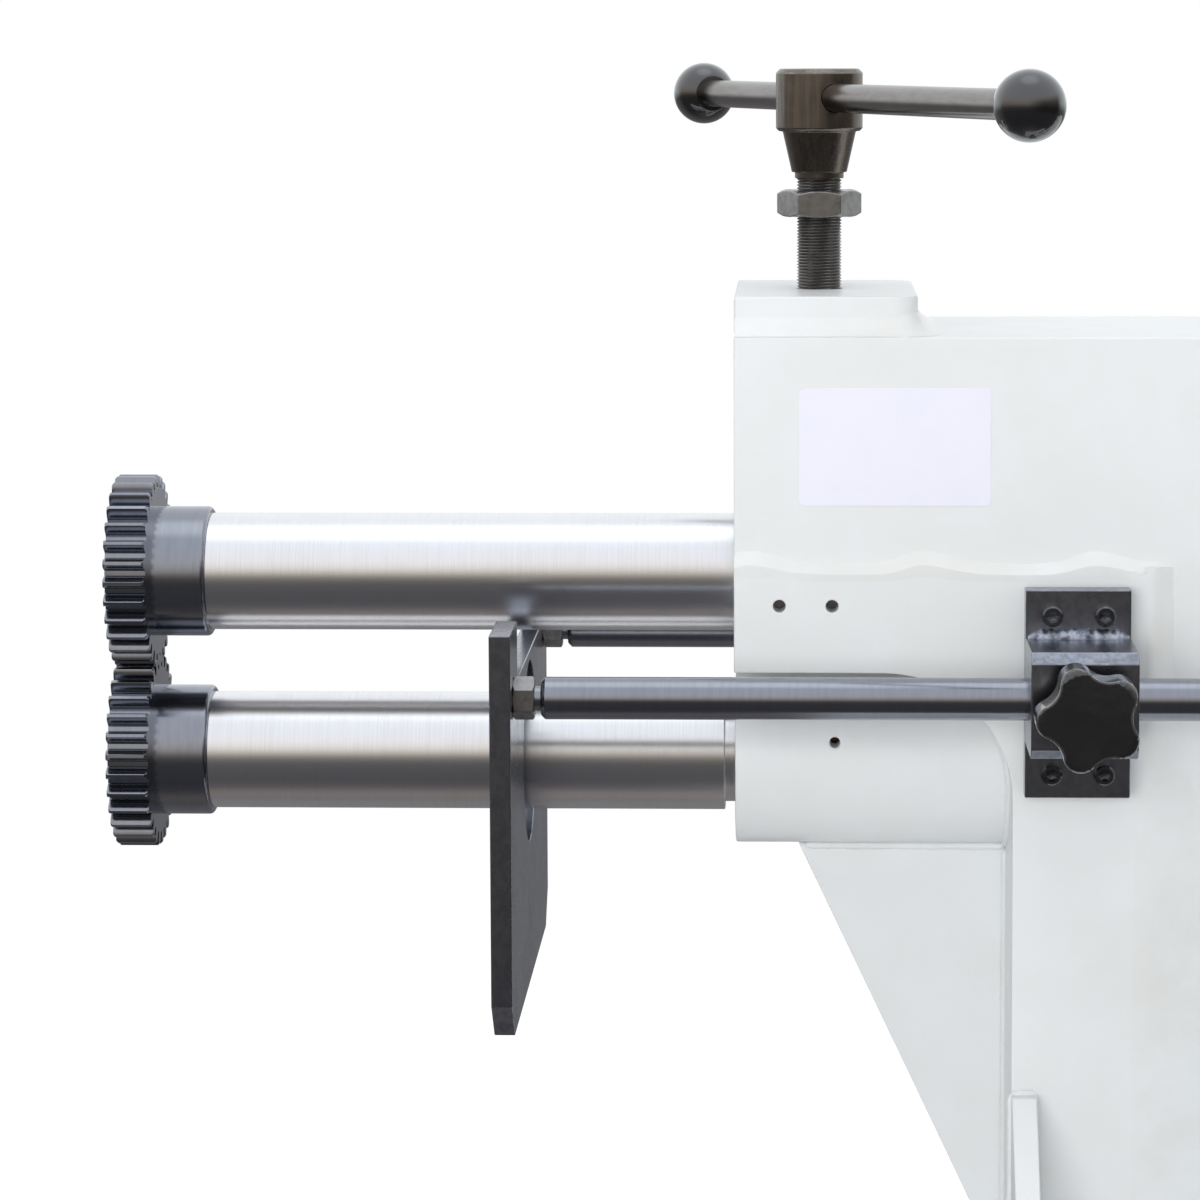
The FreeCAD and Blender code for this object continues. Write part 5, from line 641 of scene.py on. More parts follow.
class Workshop:
    """Makes objects from meshes and hands them to the frame."""

    @staticmethod
    def put(name: str, data: bpy.types.ID) -> bpy.types.Object:
        """Adds an object with this data to the scene.

        Args:
            name: the object's name.
            data: its mesh, camera or light.

        Returns:
            The new object.
        """
        made = bpy.data.objects.new(name, data)
        bpy.context.scene.collection.objects.link(made)
        return made

    @staticmethod
    def piece(name: str, mesh: bmesh.types.BMesh, material: bpy.types.Material) -> bpy.types.Object:
        """Turns a bmesh into an object with its material.

        Args:
            name: the object's name.
            mesh: its mesh in frame coordinates. It is freed.
            material: its material.

        Returns:
            The new object.
        """
        data = bpy.data.meshes.new(name)
        mesh.to_mesh(data)
        mesh.free()
        data.materials.append(material)
        return Workshop.put(name, data)

    @staticmethod
    def settle(made: bpy.types.Object) -> None:
        """Applies an object's modifiers to its mesh, which keeps its materials.

        Args:
            made: the object.
        """
        graph = bpy.context.evaluated_depsgraph_get()
        evaluated = made.evaluated_get(graph)
        data = bpy.data.meshes.new_from_object(evaluated, depsgraph=graph)
        made.modifiers.clear()
        made.data = data

    @staticmethod
    def smooth(made: bpy.types.Object, degrees: float = 35.0) -> None:
        """Smooth shading with sharp edges and normals weighted to the flat faces.

        Args:
            made: the object.
            degrees: angle above which an edge stays sharp.
        """
        made.data.shade_smooth()
        made.data.set_sharp_from_angle(angle=math.radians(degrees))
        weighted = made.modifiers.new("weighted", "WEIGHTED_NORMAL")
        weighted.keep_sharp = True
        weighted.weight = 80
        Workshop.settle(made)

    @staticmethod
    def merged(node: str) -> bmesh.types.BMesh:
        """A copy of a CAD node's mesh with its doubles merged.

        Args:
            node: the node's name.

        Returns:
            The copy.
        """
        mesh = bmesh.new()
        mesh.from_mesh(frame["nodes"][node].data)
        bmesh.ops.remove_doubles(mesh, verts=mesh.verts, dist=SAME_POINT)
        return mesh

    @staticmethod
    def islands(node: str) -> list[tuple[Vector, Vector]]:
        """Boxes of a CAD node's separate solids.

        Args:
            node: the node's name.

        Returns:
            The lowest and the highest corner of each solid, in a steady order.
        """
        mesh = Workshop.merged(node)
        found = []
        fresh = set(mesh.verts)
        while fresh:
            reached = [fresh.pop()]
            corners = [reached[0].co.copy(), reached[0].co.copy()]
            while reached:
                vert = reached.pop()
                corners[0] = Vector(map(min, corners[0], vert.co))
                corners[1] = Vector(map(max, corners[1], vert.co))
                around = {edge.other_vert(vert) for edge in vert.link_edges} & fresh
                fresh -= around
                reached.extend(around)
            found.append(tuple(corners))
        mesh.free()
        return sorted(found, key=lambda box: tuple(round(value, 5) for value in (*box[0], *box[1])))

    @staticmethod
    def hand_over(made: bpy.types.Object, finish: Finish, node: str, added: bool = False) -> None:
        """Attaches a piece to its CAD node's body, hides the node unless the piece is added, and reports
        it.

        Args:
            made: the finished piece.
            finish: its finish; not used.
            node: the CAD node whose body it rides on, and that it stands for.
            added: whether the node keeps its own piece, beside which this one is new.
        """
        body = frame["nodes"][node].parent.name.removeprefix("body:")
        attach(made, body)
        if not added:
            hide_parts(node)
        LOG.info("%s rides on %s, %d faces", made.name, body, len(made.data.polygons))


@dataclass(frozen=True)
class Ring:
    """One ring of a turned shape.

    Attributes:
        along: its place on the axis.
        radius: its radius. A radius of 0 closes the shape.
        across: width across the flats of the hexagon that limits it, or 0 where it is round.
    """

    along: float
    radius: float
    across: float = 0.0

    def reach(self, angle: float) -> float:
        """Distance from the axis at an angle."""
        fold = angle % (math.pi / 3) - math.pi / 6
        return min(self.radius, self.across / 2 / math.cos(fold)) if self.across else self.radius


class Blank:
    """The mesh of one piece, built up from closed shells."""

    def __init__(self) -> None:
        """Starts with nothing."""
        self.mesh = bmesh.new()

    @staticmethod
    def axis(origin: Sequence[float], direction: Sequence[float]) -> Matrix:
        """Matrix that takes Z to a direction and the origin to a place."""
        turn = Vector(direction).to_track_quat("Z", "Y").to_matrix().to_4x4()
        return Matrix.Translation(Vector(origin)) @ turn

    def turn(
        self, rings: Sequence[Ring], base: Matrix, sides: int = 48, closed: bool = False
    ) -> "Blank":
        """Adds a turned shell.

        Args:
            rings: its rings, from one closed end to the other.
            base: where its axis lies.
            sides: points round each ring.
            closed: whether it is a ring with a bore, whose last ring repeats its first.

        Returns:
            This blank.
        """
        rows = []
        for ring in rings[:-1] if closed else rings:
            if ring.radius == 0:
                rows.append([self.mesh.verts.new(base @ Vector((0.0, 0.0, ring.along)))])
                continue
            row = []
            for number in range(sides):
                angle = math.tau * number / sides
                reach = ring.reach(angle)
                point = (reach * math.cos(angle), reach * math.sin(angle), ring.along)
                row.append(self.mesh.verts.new(base @ Vector(point)))
            rows.append(row)
        if closed:
            rows.append(rows[0])
        for first, last in zip(rows, rows[1:]):
            self._band(first, last)
        return self

    def sweep(self, sections: Iterable[Sequence[Point]]) -> "Blank":
        """Adds a closed shell through closed sections with as many points each.

        Args:
            sections: the sections' points, from one end to the other.

        Returns:
            This blank.
        """
        rows = [[self.mesh.verts.new(point) for point in section] for section in sections]
        for first, last in zip(rows, rows[1:]):
            self._band(first, last)
        self.mesh.faces.new(rows[0])
        self.mesh.faces.new(reversed(rows[-1]))
        return self

    def _band(self, first: Sequence[bmesh.types.BMVert], last: Sequence[bmesh.types.BMVert]) -> None:
        """Joins two rows of points with faces, either of which may be a single point.

        Args:
            first: points of the first row.
            last: points of the second row.
        """
        count = max(len(first), len(last))
        for index in range(count):
            after = (index + 1) % count
            corners = [first[index % len(first)], first[after % len(first)]]
            corners += [last[after % len(last)], last[index % len(last)]]
            self.mesh.faces.new(list(dict.fromkeys(corners)))

    def made(self, name: str, finish: Finish, degrees: float = 35.0) -> bpy.types.Object:
        """Turns the blank into an object.

        Args:
            name: the object's name.
            finish: its finish.
            degrees: angle above which an edge stays sharp.

        Returns:
            The object, with faces that point outwards.
        """
        bmesh.ops.recalc_face_normals(self.mesh, faces=self.mesh.faces)
        made = Workshop.piece(name, self.mesh, finish.material())
        Workshop.smooth(made, degrees)
        return made


class Recipe(Graph):
    """A Geometry Nodes tree with named inputs."""

    def __init__(self, name: str, **inputs: str) -> None:
        """Starts a tree.

        Args:
            name: the tree's name.
            **inputs: the socket type of each named input, such as Float or Int.
        """
        tree = bpy.data.node_groups.new(name, "GeometryNodeTree")
        super().__init__(tree)
        tree.interface.new_socket("Geometry", in_out="OUTPUT", socket_type="NodeSocketGeometry")
        sockets = {"Geometry": "Geometry", "Material": "Material", **inputs}
        for label, kind in sockets.items():
            tree.interface.new_socket(label, in_out="INPUT", socket_type=f"NodeSocket{kind}")
        self.entry = tree.nodes.new("NodeGroupInput")

    def named(self, label: str) -> Signal:
        """One of the tree's inputs."""
        return Signal(self, self.entry.outputs[label])

    def spun(self, axis: Point, angle: Value) -> Signal:
        """Rotation about an axis."""
        return self.node("FunctionNodeAxisAngleToRotation", {"Axis": axis, "Angle": angle})

    def tube(self, curve: Signal, radius: Value, sides: int, scale: Value = 1.0) -> Signal:
        """Closed tube along a curve.

        Args:
            curve: the curve.
            radius: the tube's radius.
            sides: its sides.
            scale: factor on its radius, which may change along it.

        Returns:
            The tube's mesh.
        """
        values = {"Resolution": sides, "Radius": radius}
        ring = self.node("GeometryNodeCurvePrimitiveCircle", values, mode="RADIUS")
        values = {"Curve": curve, "Profile Curve": ring, "Scale": scale, "Fill Caps": True}
        return self.node("GeometryNodeCurveToMesh", values)

    def close(self, geometry: Signal, weld: float = 0.0) -> "Recipe":
        """Ends the tree.

        Args:
            geometry: what it has made.
            weld: distance within which its points are merged, or 0.

        Returns:
            This recipe.
        """
        real = self.node("GeometryNodeRealizeInstances", {0: geometry})
        if weld:
            real = self.node("GeometryNodeMergeByDistance", {"Geometry": real, "Distance": weld})
        values = {"Geometry": real, "Material": self.named("Material")}
        self.end("NodeGroupOutput", self.node("GeometryNodeSetMaterial", values))
        return self

    def run(
        self, name: str, base: bmesh.types.BMesh, finish: Finish, **values: float | int | object
    ) -> bpy.types.Object:
        """Makes a piece with this tree.

        Args:
            name: the piece's name.
            base: the mesh that the tree starts from. It is freed.
            finish: the piece's finish.
            **values: the tree's inputs by name.

        Returns:
            The piece as a plain mesh.
        """
        material = finish.material()
        made = Workshop.piece(name, base, material)
        modifier = made.modifiers.new("recipe", "NODES")
        modifier.node_group = self.tree
        wanted = {"Material": material, **values}
        for item in self.tree.interface.items_tree:
            if item.in_out == "INPUT" and item.name in wanted:
                modifier[item.identifier] = wanted[item.name]
        Workshop.settle(made)
        return made


class Recipes:
    """The machine's Geometry Nodes trees, one for each rule that its pieces follow."""

    @staticmethod
    def ring() -> Recipe:
        """Copies of one sector round an axis along X, merged into a closed piece.

        Returns:
            The tree.
        """
        recipe = Recipe("ring_of_sectors", Copies="Int", Phase="Float", Centre="Vector")
        copies = recipe.named("Copies")
        offset = {"Count": copies, "Offset": (0.0, 0.0, 0.0)}
        points = recipe.node("GeometryNodeMeshLine", offset)
        index = recipe.node("GeometryNodeInputIndex")
        turn = recipe.spun((1.0, 0.0, 0.0), index * math.tau / copies + recipe.named("Phase"))
        values = {"Points": points, "Instance": recipe.named("Geometry"), "Rotation": turn}
        sectors = recipe.node("GeometryNodeInstanceOnPoints", values)
        values = {"Geometry": sectors, "Translation": recipe.named("Centre")}
        return recipe.close(recipe.node("GeometryNodeTransform", values), weld=0.005 * MM)

    @staticmethod
    def fasteners() -> Recipe:
        """Copies of one fastener on points, each turned by chance about its own axis.

        Returns:
            The tree.
        """
        recipe = Recipe("fasteners_on_points", Template="Object", Seed="Int")
        values = {"Name": FACING}
        facing = recipe.node("GeometryNodeInputNamedAttribute", values, data_type="FLOAT_VECTOR")
        aligned = recipe.node("FunctionNodeAlignRotationToVector", {"Vector": facing}, axis="Z")
        values = {3: math.tau, "Seed": recipe.named("Seed")}
        chance = recipe.node("FunctionNodeRandomValue", values, output=1, data_type="FLOAT")
        values = {0: aligned, 1: recipe.spun((0.0, 0.0, 1.0), chance)}
        turned = recipe.node("FunctionNodeRotateRotation", values, rotation_space="LOCAL")
        values = {"Object": recipe.named("Template")}
        template = recipe.node("GeometryNodeObjectInfo", values, output="Geometry")
        values = {"Points": recipe.named("Geometry"), "Instance": template, "Rotation": turned}
        return recipe.close(recipe.node("GeometryNodeInstanceOnPoints", values))

    @staticmethod
    def bead() -> Recipe:
        """Weld bead along a path, with ripples, lumps and tapered ends.

        Returns:
            The tree.
        """
        recipe = Recipe("weld_bead", Radius="Float", Ripple="Float", Lump="Float", Step="Float")
        path = recipe.node("GeometryNodeMeshToCurve", {"Mesh": recipe.named("Geometry")})
        values = {"Curve": path, "Length": recipe.named("Step")}
        path = recipe.node("GeometryNodeResampleCurve", values, mode="LENGTH")
        place = recipe.node("GeometryNodeInputPosition")
        along = recipe.node("GeometryNodeSplineParameter", output="Length")
        whole = recipe.node("GeometryNodeSplineLength")
        radius = recipe.named("Radius")
        waves = (along * math.pi / recipe.named("Ripple")).sine().size()
        taper = (along.least(whole - along) / radius * 0.6 + 0.35).clamped()
        girth = 0.72 + recipe.noise(place, scale=90.0, detail=3.0) * 0.4 + waves * 0.12
        tube = recipe.tube(path, radius, 12, girth * taper)
        normal = recipe.node("GeometryNodeInputNormal")
        lump = (recipe.noise(place, scale=420.0) - 0.5) * recipe.named("Lump")
        values = {"Geometry": tube, "Offset": normal.scaled(lump)}
        rough = recipe.node("GeometryNodeSetPosition", values)
        return recipe.close(recipe.node("GeometryNodeSetShadeSmooth", {"Geometry": rough}))

    @staticmethod
    def thread() -> Recipe:
        """Screw thread upwards from a foot, beside the shells that it is given.

        Returns:
            The tree.
        """
        sizes = {"Crest": "Float", "Root": "Float", "Pitch": "Float", "Length": "Float"}
        recipe = Recipe("screw_thread", **sizes, Sides="Int", Rows="Int", Foot="Vector")
        crest = recipe.named("Crest")
        length = recipe.named("Length")
        values = {"Vertices": recipe.named("Sides"), "Side Segments": recipe.named("Rows")}
        values |= {"Radius": crest, "Depth": length}
        bar = recipe.node("GeometryNodeMeshCylinder", values, fill_type="NGON")
        place = recipe.node("GeometryNodeInputPosition")
        across, deep, high = place.parts()
        turn = (high / recipe.named("Pitch") - deep.angle(across) / math.tau + 1000.0).fraction()
        rise = ((turn * 2 - 1).size() * 1.3 - 0.1).clamped()
        inner = recipe.named("Root") / crest
        share = inner + (1 - inner) * rise
        values = {"X": across * share, "Y": deep * share, "Z": high + length * 0.5}
        cut = recipe.node("ShaderNodeCombineXYZ", values)
        bar = recipe.node("GeometryNodeSetPosition", {"Geometry": bar, "Position": cut})
        values = {"Geometry": bar, "Translation": recipe.named("Foot")}
        bar = recipe.node("GeometryNodeTransform", values)
        joined = recipe.tree.nodes.new("GeometryNodeJoinGeometry")
        for part in (recipe.named("Geometry"), bar):
            recipe.tree.links.new(part.socket, joined.inputs[0])
        return recipe.close(Signal(recipe, joined.outputs[0]))

    @staticmethod
    def springs() -> Recipe:
        """Coil springs that stand on points.

        Returns:
            The tree.
        """
        sizes = {"Radius": "Float", "Wire": "Float", "Height": "Float", "Turns": "Float"}
        recipe = Recipe("springs_on_points", **sizes)
        radius = recipe.named("Radius")
        values = {"Resolution": 24, "Rotations": recipe.named("Turns"), "Start Radius": radius}
        values |= {"End Radius": radius, "Height": recipe.named("Height")}
        helix = recipe.node("GeometryNodeCurveSpiral", values)
        coil = recipe.tube(helix, recipe.named("Wire"), 10)
        values = {"Points": recipe.named("Geometry"), "Instance": coil}
        return recipe.close(recipe.node("GeometryNodeInstanceOnPoints", values))


def scattered(
    points: Iterable[Sequence[float]], facing: Sequence[Sequence[float]] = ()
) -> bmesh.types.BMesh:
    """Loose points, each with the direction that it faces.

    Args:
        points: their places.
        facing: their directions, as many as the points, or none.

    Returns:
        The mesh.
    """
    mesh = bmesh.new()
    layer = mesh.verts.layers.float_vector.new(FACING)
    for index, point in enumerate(points):
        vert = mesh.verts.new(point)
        if facing:
            vert[layer] = Vector(facing[index])
    return mesh


def wired(paths: Iterable[Sequence[Sequence[float]]]) -> bmesh.types.BMesh:
    """Open chains of edges.

    Args:
        paths: the points of each chain.

    Returns:
        The mesh.
    """
    mesh = bmesh.new()
    for path in paths:
        verts = [mesh.verts.new(point) for point in path]
        for first, last in zip(verts, verts[1:]):
            mesh.edges.new((first, last))
    return mesh


class MachinedCopies:
    """CAD nodes carried over with rounded edges and their finish.

    Attributes:
        SHARP: angle of the faces from which an edge is rounded.
        FLAT: angle of the faces under which they become one.
        SEAMS: axis index and place of the planes whose edges lie under a filled seam.
        NEAR: how near to such a plane an edge counts as on it.
        BEVEL: settings of the rounding.
    """

    SHARP = math.radians(32.0)
    FLAT = math.radians(0.4)
    SEAMS = ((2, 0.572), (2, 0.469), (0, -0.101))
    NEAR = 0.1 * MM
    BEVEL = {
        "offset_type": "OFFSET", "segments": 2, "profile": 0.6, "affect": "EDGES",
        "clamp_overlap": False, "harden_normals": False,
    }

    def build(self) -> None:
        """Builds a copy of each node that keeps its shape."""
        for dress in Dress:
            self._copy(dress)

    def _copy(self, dress: Dress) -> None:
        """Rounds the edges of one node's copy and hands it over.

        Args:
            dress: the node with its finish and rounding.
        """
        mesh = Workshop.merged(dress.node)
        bmesh.ops.dissolve_limit(mesh, angle_limit=self.FLAT, verts=mesh.verts, edges=mesh.edges)
        layer = mesh.faces.layers.float.new(EDGE_MARK)
        if dress.rounding:
            edges = [edge for edge in mesh.edges if self._is_corner(edge)]
            rounded = bmesh.ops.bevel(mesh, geom=edges, offset=dress.rounding, **self.BEVEL)
            for face in rounded["faces"]:
                face[layer] = 1.0
        open_edges = sum(1 for edge in mesh.edges if not edge.is_manifold)
        if open_edges:
            LOG.warning("%s has %d open edges", dress.node, open_edges)
        made = Workshop.piece(f"{dress.node}_finished", mesh, dress.finish.material())
        Workshop.smooth(made)
        Workshop.hand_over(made, dress.finish, dress.node)

    def _is_corner(self, edge: bmesh.types.BMEdge) -> bool:
        """Whether an edge of the copy is a real corner that is rounded, not one under a weld.

        Args:
            edge: the edge.

        Returns:
            Whether it is rounded.
        """
        if len(edge.link_faces) != 2 or edge.calc_face_angle(0.0) < self.SHARP:
            return False
        return not any(
            all(abs(vert.co[axis] - place) < self.NEAR for vert in edge.verts)
            for axis, place in self.SEAMS
        )


@dataclass
class ToothedRoll:
    """A toothed roll: rim of involute teeth, hub, bore and the recess in its face.

    Attributes:
        node: its CAD node.
        phase: its first tooth from straight up about X, in degrees.
        teeth: number of teeth.
        module: tooth size.
        pressure: pressure angle in degrees.
        thinning: backlash on each tooth.
        root_share: roots below the pitch circle, in modules.
        face: tooth length.
        hub: hub radius.
        bore: bore radius.
        recess: recess radius.
        recess_depth: recess depth.
        chamfer: chamfer of the tooth ends.
        rim: chamfer of the recess.
        hub_rim: rounding of the hub's rear edge.
    """

    node: str
    phase: float
    teeth: int = 30
    module: float = 3.0 * MM
    pressure: float = 20.0
    thinning: float = 0.12 * MM
    root_share: float = 1.25
    face: float = 20.0 * MM
    hub: float = 32.25 * MM
    bore: float = 20.05 * MM
    recess: float = 27.0 * MM
    recess_depth: float = 8.0 * MM
    chamfer: float = 0.9 * MM
    rim: float = 0.5 * MM
    hub_rim: float = 2.0 * MM

    def __post_init__(self) -> None:
        """Reads the roll's place and works out its circles."""
        low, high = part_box(self.node)
        self.front, self.rear = low[0], high[0]
        self.centre = (0.0, 0.0, (low[2] + high[2]) / 2)
        self.pitch = self.module * self.teeth / 2
        self.base = self.pitch * math.cos(math.radians(self.pressure))
        self.tip = self.pitch + self.module

    def build(self, ring: Recipe) -> None:
        """Builds one sector and lets the ring tree repeat it.

        Args:
            ring: the tree that copies a sector round an axis along X.
        """
        made = ring.run(
            f"{self.node}_teeth", self._sector(), BLACK_OXIDE,
            Copies=self.teeth, Phase=math.radians(self.phase), Centre=self.centre,
        )
        Workshop.smooth(made, 28.0)
        Workshop.hand_over(made, BLACK_OXIDE, self.node)

    def _unwound(self, radius: float) -> float:
        """Angle that the involute has turned at a radius."""
        slope = math.sqrt(max((radius / self.base) ** 2 - 1, 0.0))
        return slope - math.atan(slope)

    def _outline(self) -> list[tuple[float, float]]:
        """Radius and angle along one tooth, from valley to valley.

        Returns:
            The points, in order of their angle.
        """
        root = self.pitch - self.root_share * self.module
        thickness = math.pi * self.module / 2 - self.thinning
        half = thickness / (2 * self.pitch) + self._unwound(self.pitch)
        fillet, corner = 0.5 * MM, 0.25 * MM
        rise = [(root, -math.pi / self.teeth), (root, -half - fillet / root), (root + fillet, -half)]
        for share in (0.0, 0.25, 0.5, 0.75):
            radius = self.base + (self.tip - self.base) * share
            rise.append((radius, -half + self._unwound(radius)))
        top = half - self._unwound(self.tip)
        rise += [(self.tip - corner, -top), (self.tip, -top + corner / self.tip)]
        return [*rise, (self.tip, 0.0), *((radius, -angle) for radius, angle in reversed(rise))]

    def _sector(self) -> bmesh.types.BMesh:
        """The shell of one tooth's share of the roll, open at its two cuts.

        Returns:
            The shell round the X axis, with its tooth straight up.
        """
        outline = self._outline()
        half_step = math.pi / self.teeth
        spread = [half_step * (2 * index / (len(outline) - 1) - 1) for index in range(len(outline))]
        back = self.front + self.face
        floor = self.front + self.recess_depth

        def arc(along: float, radius: float) -> list[Point]:
            """Points of a round layer."""
            return [(along, radius, angle) for angle in spread]

        def tooth(along: float, limit: float) -> list[Point]:
            """Points of a layer with the tooth's outline."""
            return [(along, min(radius, limit), angle) for radius, angle in outline]

        cut = self.tip - self.chamfer
        rear, out = self.rear - self.hub_rim, self.hub - self.hub_rim
        turns = [math.pi / 2 * step / 4 for step in range(5)]
        round_edge = [
            arc(rear + self.hub_rim * math.sin(turn), out + self.hub_rim * math.cos(turn))
            for turn in turns
        ]
        layers = [
            arc(floor, self.bore), arc(floor, self.recess), arc(self.front + self.rim, self.recess),
            arc(self.front, self.recess + self.rim), tooth(self.front, cut),
            tooth(self.front + self.chamfer, self.tip), tooth(back - self.chamfer, self.tip),
            tooth(back, cut), arc(back, self.hub), *round_edge, arc(self.rear, self.bore),
        ]
        chamfers = (4, 6)
        mesh = bmesh.new()
        layer = mesh.faces.layers.float.new(EDGE_MARK)
        rows = [
            [mesh.verts.new((x, r * math.sin(a), r * math.cos(a))) for x, r, a in points]
            for points in layers
        ]
        for number, (first, last) in enumerate(zip(rows, [*rows[1:], rows[0]])):
            for index in range(len(outline) - 1):
                corners = (first[index], last[index], last[index + 1], first[index + 1])
                mesh.faces.new(corners)[layer] = float(number in chamfers)
        return mesh


@dataclass
class RollFixing:
    """What holds a roll: washer and countersunk screw in its face, and the keys of its shaft.

    Attributes:
        node: its CAD node.
        washer: washer's thickness.
        head: head radius.
        shank: shank radius.
        socket: hexagon's width across its flats.
        depth: hexagon's depth.
        edge: chamfer of the washer and the keys.
    """

    node: str
    washer: float = 6.0 * MM
    head: float = 9.0 * MM
    shank: float = 5.0 * MM
    socket: float = 6.0 * MM
    depth: float = 3.0 * MM
    edge: float = 0.5 * MM

    def build(self) -> None:
        """Builds the washer and the screw as turned shells and the keys as chamfered bars."""
        (low, high), *keys = Workshop.islands(self.node)
        base = Blank.axis((low.x, 0.0, (low.z + high.z) / 2), (1.0, 0.0, 0.0))
        radius, length = (high.z - low.z) / 2, high.x - low.x
        slope = self.head - self.shank
        blank = Blank()
        washer = [
            Ring(slope, self.shank), Ring(0.3 * MM, self.head), Ring(0, self.head + 0.3 * MM),
            Ring(0, radius - self.edge), Ring(self.edge, radius),
            Ring(self.washer, radius), Ring(self.washer, self.shank), Ring(slope, self.shank),
        ]
        blank.turn(washer, base, 64, closed=True)
        wide = self.head * 2
        screw = [
            Ring(self.depth, 0), Ring(self.depth, wide, self.socket), Ring(0, wide, self.socket),
            Ring(0, self.head - 0.3 * MM), Ring(0.3 * MM, self.head - 0.1 * MM),
            Ring(slope, self.shank - 0.1 * MM), Ring(length, self.shank - 0.1 * MM), Ring(length, 0),
        ]
        blank.turn(screw, base, 48)
        for first, last in keys:
            ends = (
                (first.x, self.edge), (first.x + self.edge, 0.0), (last.x - self.edge, 0.0),
                (last.x, self.edge),
            )
            sections = []
            for x, inset in ends:
                left, right = first.y + inset, last.y - inset
                bottom, top = first.z + inset, last.z - inset
                sections.append([(x, left, bottom), (x, right, bottom), (x, right, top), (x, left, top)])
            blank.sweep(sections)
        made = blank.made(f"{self.node}_turned", BLACK_OXIDE, 25.0)
        Workshop.hand_over(made, BLACK_OXIDE, self.node)


@dataclass
class Spindles:
    """The two spindles' toothed rolls, in mesh, and what holds them.

    Attributes:
        lower_phase: the lower roll's first tooth, straight up.
        upper_phase: the upper roll's first tooth, half a tooth round.
    """

    lower_phase: float = 0.0
    upper_phase: float = 6.0

    def build(self) -> None:
        """Builds both rolls with one tree."""
        ring = Recipes.ring()
        ToothedRoll("lower_roll", self.lower_phase).build(ring)
        ToothedRoll("upper_roll", self.upper_phase).build(ring)
        for node in ("lower_roll_fixing", "upper_roll_fixing"):
            RollFixing(node).build()


@dataclass
class AdjustingScrew:
    """Adjusting screw with its thread, and the balls on its cross bar.

    Attributes:
        crest: thread's outer radius.
        root: thread's root radius.
        pitch: thread pitch.
        nose: nose radius.
        nose_length: nose length under the thread.
        spigot: spigot radius.
        spigot_length: spigot length above the thread.
        rows_per_turn: rows of faces in one turn of the thread.
        ball_flat: radius of the flat where the bar enters a ball.
    """

    crest: float = 11.0 * MM
    root: float = 10.08 * MM
    pitch: float = 1.5 * MM
    nose: float = 7.0 * MM
    nose_length: float = 8.0 * MM
    spigot: float = 9.0 * MM
    spigot_length: float = 22.0 * MM
    rows_per_turn: int = 6
    ball_flat: float = 9.0 * MM

    def build(self) -> None:
        """Builds the screw and the balls."""
        self._screw()
        self._balls()

    def _screw(self) -> None:
        """Screw with its nose and spigot as turned shells and its thread from the tree."""
        low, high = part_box("adjusting_screw")
        centre = ((low[0] + high[0]) / 2, (low[1] + high[1]) / 2)
        foot = low[2] + self.nose_length
        end = high[2] - self.spigot_length
        edge = 0.5 * MM
        blank = Blank()
        base = Matrix.Translation((*centre, 0.0))
        nose = [
            Ring(low[2], 0), Ring(low[2], self.nose - edge), Ring(low[2] + edge, self.nose),
            Ring(foot + edge, self.nose), Ring(foot + edge, 0),
        ]
        spigot = [
            Ring(end - edge, 0), Ring(end - edge, self.spigot), Ring(high[2] - edge, self.spigot),
            Ring(high[2], self.spigot - edge), Ring(high[2], 0),
        ]
        blank.turn(nose, base).turn(spigot, base)
        bmesh.ops.recalc_face_normals(blank.mesh, faces=blank.mesh.faces)
        made = Recipes.thread().run(
            "adjusting_screw_thread", blank.mesh, BLACK_SCREW, Crest=self.crest, Root=self.root,
            Pitch=self.pitch, Length=end - foot, Sides=40, Foot=(*centre, foot),
            Rows=round((end - foot) / self.pitch * self.rows_per_turn),
        )
        Workshop.smooth(made, 50.0)
        Workshop.hand_over(made, BLACK_SCREW, "adjusting_screw")

    def _balls(self) -> None:
        """Moulded balls, each flattened where the bar enters it."""
        boxes = Workshop.islands("ball_knobs")
        middles = [(low + high) / 2 for low, high in boxes]
        centre = (middles[0] + middles[1]) / 2
        blank = Blank()
        for (low, high), middle in zip(boxes, middles):
            radius = (high.z - low.z) / 2
            start = math.asin(self.ball_flat / radius)
            count = 40
            angles = [start + (math.pi - start) * step / count for step in range(count)]
            round_part = [Ring(-radius * math.cos(a), radius * math.sin(a)) for a in angles]
            rings = [Ring(-radius * math.cos(start), 0), *round_part, Ring(radius, 0)]
            blank.turn(rings, Blank.axis(middle, middle - centre), 64)
        made = blank.made("ball_knobs_moulded", GLOSS_BLACK, 40.0)
        Workshop.hand_over(made, GLOSS_BLACK, "ball_knobs")


